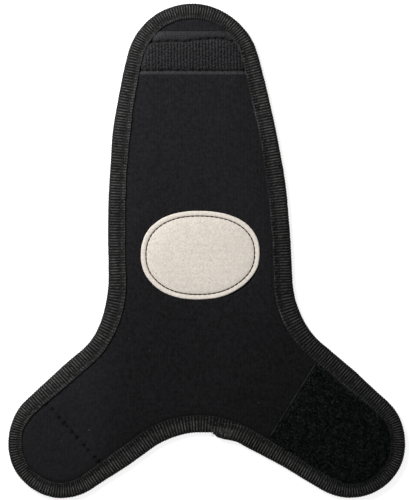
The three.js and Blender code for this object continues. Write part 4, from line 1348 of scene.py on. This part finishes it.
def build_badge():
    around = 240
    insets, lift = np.array(BADGE_SECTION).T
    angle = np.arange(around) * 2 * math.pi / around
    rings = [badge_points(angle, inset) for inset in insets]
    base = form_height(np.concatenate(rings)).reshape(len(rings), around)
    base = base[6:10].mean() * 0.5 + base * 0.5
    points = []
    for index, inset in enumerate(insets):
        wobble = 0.10 * np.array([noise.noise((math.cos(a) * 6, math.sin(a) * 6, 3.1)) for a in angle])
        xy = badge_points(angle, inset + wobble * (inset < 1.2))
        z = base[index] + lift[index]
        points.append(np.column_stack([xy, z]))
    middle = np.array([[0.0, 0.0, base[-1].mean() + lift[-1]]])
    points = np.concatenate(points + [middle])
    last = (len(insets) - 1) * around
    ahead = (np.arange(around) + 1) % around
    fan = np.column_stack([last + np.arange(around), last + ahead, np.full(around, len(points) - 1)])
    under = np.column_stack([badge_points(angle, 0.3), points[:around, 2] - 0.05])
    bottom_start = len(points)
    points = np.concatenate([points, under])
    bottom = bottom_start + np.arange(around)
    skirt = np.stack([bottom, bottom_start + ahead, ahead, np.arange(around)], -1)
    inset_all = np.concatenate([np.repeat(insets, around), [21.5], np.zeros(around)])
    rim = 1 - smooth(inset_all, 1.6, 2.4)
    seam = bell(inset_all - 2.5, 0.30)
    tone = 0.46 + 0.15 * rim - 0.50 * seam
    faces = [grid_faces(len(insets), around, wrap_columns=True), fan, skirt, bottom[None, ::-1]]
    make_mesh("badge_canvas", points, faces, CANVAS, "badge", {"tone": np.clip(tone, 0, 1)}, "badge")
    turn = np.linspace(0, 2 * math.pi, 2000)
    length = np.append(0, np.hypot(*np.diff(badge_points(turn, BADGE_SEAM_INSET), axis=0).T).cumsum())
    marks = np.interp(np.linspace(0, length[-1], round(length[-1] / BADGE_STITCH) + 1), length, turn)
    holes = badge_points(marks, BADGE_SEAM_INSET + 0.05)
    holes[-1] = holes[0]
    heights = np.interp(marks, np.append(angle, 2 * math.pi), np.append(base[11], base[11][0])) + 0.36
    front = stitches(holes, heights, 0.10, 0.10, 0.30, fill=1.0)
    make_mesh("badge_stitches", *front, BROWN_THREAD, "badge_thread", node="badge_needle_thread")
    back = turned_over(*stitches(holes, np.full(len(holes), -0.23), 0.10, 0.2, 0.13))
    make_mesh("badge_back_stitches", *back, BLACK_THREAD, "thread", node="badge_bobbin_thread")


build_badge()


# Lint on the cloth and fibres at the tape's cut end

def curl(start, way, length, bend, height, count=7):
    share = np.linspace(0, 1, count)
    angle = math.atan2(way[1], way[0]) + bend * (share - 0.5)
    step = length / (count - 1)
    x = start[0] + np.concatenate([[0], np.cumsum(np.cos(angle[1:]) * step)])
    y = start[1] + np.concatenate([[0], np.cumsum(np.sin(angle[1:]) * step)])
    return np.column_stack([x, y, np.full(count, height) + 0.12 * np.sin(share * math.pi)])


# Where bits of lint lie on the cloth, and how long they are
LINT_BITS = [
    (-33.8, -40.2, 0.8), (-54.0, -84.0, 0.9), (-66.7, -89.2, 0.5), (27.6, -70.9, 1.2), (-24.5, -46.0, 0.6),
]


def build_lint():
    paths = []
    for x, y, length in LINT_BITS:
        turn = random.uniform(0, math.pi)
        start = np.array([x, y])
        height = form_height([start])[0] + 0.05
        paths.append(curl(start, (math.cos(turn), math.sin(turn)), length, random.uniform(-2.5, 2.5), height))
    points, faces = tubes(np.array(paths), 0.07, 5)
    make_mesh("lint", points, faces, LINT, "badge_thread")
    paths = []
    for inset in np.linspace(-0.6, 6.2, 26):
        at = float(cut_at(np.array(max(inset, 0)))) + random.uniform(-0.1, 0.5)
        out = float(lap_outward(np.array([at]), np.array([max(inset, 0.0)]), np.array([True]))[0])
        start = inset_xy([at], inset - out)[0]
        _, _, nx, ny = edge_at([at])
        way = np.array([ny[0], -nx[0]]) + random.normal(0, 0.5, 2)
        height = 3.62 + random.uniform(0.1, 0.75)
        if inset < 1:
            height -= 1.2
        paths.append(curl(start, way, random.uniform(0.5, 1.5), random.uniform(-1.5, 1.5), height))
    points, faces = tubes(np.array(paths), 0.06, 4)
    make_mesh("tape_fray", points, faces, FRAY, "tape")


build_lint()


# Floor, light and camera, in metres

FLOOR_HALF = 1.2
FLOOR_LEVEL = -0.0003
WORLD_LIGHT = 0.28
KEY_SIZE = 0.2
KEY_WATTS = 2.5
KEY_PLACE = (-0.235, 0.235, 0.305)
VIEW_HEIGHT = 0.240
CAMERA_UP = 1.2
SENSOR = 24


def floor_material():
    """Plain and pale, white to the camera and in reflections, and still dark where the pad shades it."""
    material, shader, node = new_material("white_floor")
    shader.inputs["Base Color"].default_value = (0.5, 0.5, 0.5, 1)
    gloss(shader, 0.9, 0.0)
    path = node("ShaderNodeLightPath").outputs
    seen = maths(node, "MAXIMUM", path["Is Camera Ray"], path["Is Glossy Ray"])
    seen = maths(node, "MAXIMUM", seen, path["Is Transmission Ray"])
    glow = node("ShaderNodeEmission", Color=(1, 1, 1, 1), Strength=maths(node, "MULTIPLY", seen, 0.8))
    both = node("ShaderNodeAddShader", i0=shader.outputs[0], i1=glow.outputs[0])
    feed(material.node_tree.nodes["Material Output"].inputs["Surface"], both.outputs[0])
    return material


def build_stage():
    mesh = bpy.data.meshes.new("floor")
    corners = [(x * FLOOR_HALF, y * FLOOR_HALF, FLOOR_LEVEL) for x, y in ((-1, -1), (1, -1), (1, 1), (-1, 1))]
    mesh.from_pydata(corners, [], [(0, 1, 2, 3)])
    mesh.materials.append(floor_material())
    floor = bpy.data.objects.new("floor", mesh)
    bpy.context.scene.collection.objects.link(floor)
    world = bpy.data.worlds.new("studio")
    bpy.context.scene.world = world
    world.use_nodes = True
    node = maker(world.node_tree)
    path = node("ShaderNodeLightPath").outputs
    seen = maths(node, "MAXIMUM", path["Is Camera Ray"], path["Is Transmission Ray"])
    background = world.node_tree.nodes["Background"]
    feed(background.inputs["Strength"], spread(node, seen, WORLD_LIGHT, 1.0, 0.0, 1.0))
    feed(background.inputs["Color"], (1, 1, 1, 1))
    light = bpy.data.lights.new("key", "AREA")
    light.shape = "SQUARE"
    light.size = KEY_SIZE
    light.energy = KEY_WATTS
    lamp = bpy.data.objects.new("key", light)
    lamp.location = KEY_PLACE
    lamp.rotation_euler = lamp.location.to_track_quat("Z", "Y").to_euler()
    bpy.context.scene.collection.objects.link(lamp)


def build_camera():
    camera = bpy.data.cameras.new("camera")
    camera.sensor_fit = "VERTICAL"
    camera.sensor_height = SENSOR
    camera.lens = SENSOR * CAMERA_UP / VIEW_HEIGHT
    eye = bpy.data.objects.new("camera", camera)
    eye.location = (-0.000857, 0.00026, 0.002 + CAMERA_UP)
    bpy.context.scene.collection.objects.link(eye)
    bpy.context.scene.camera = eye
    bpy.context.scene.view_settings.view_transform = "Standard"


build_stage()
build_camera()
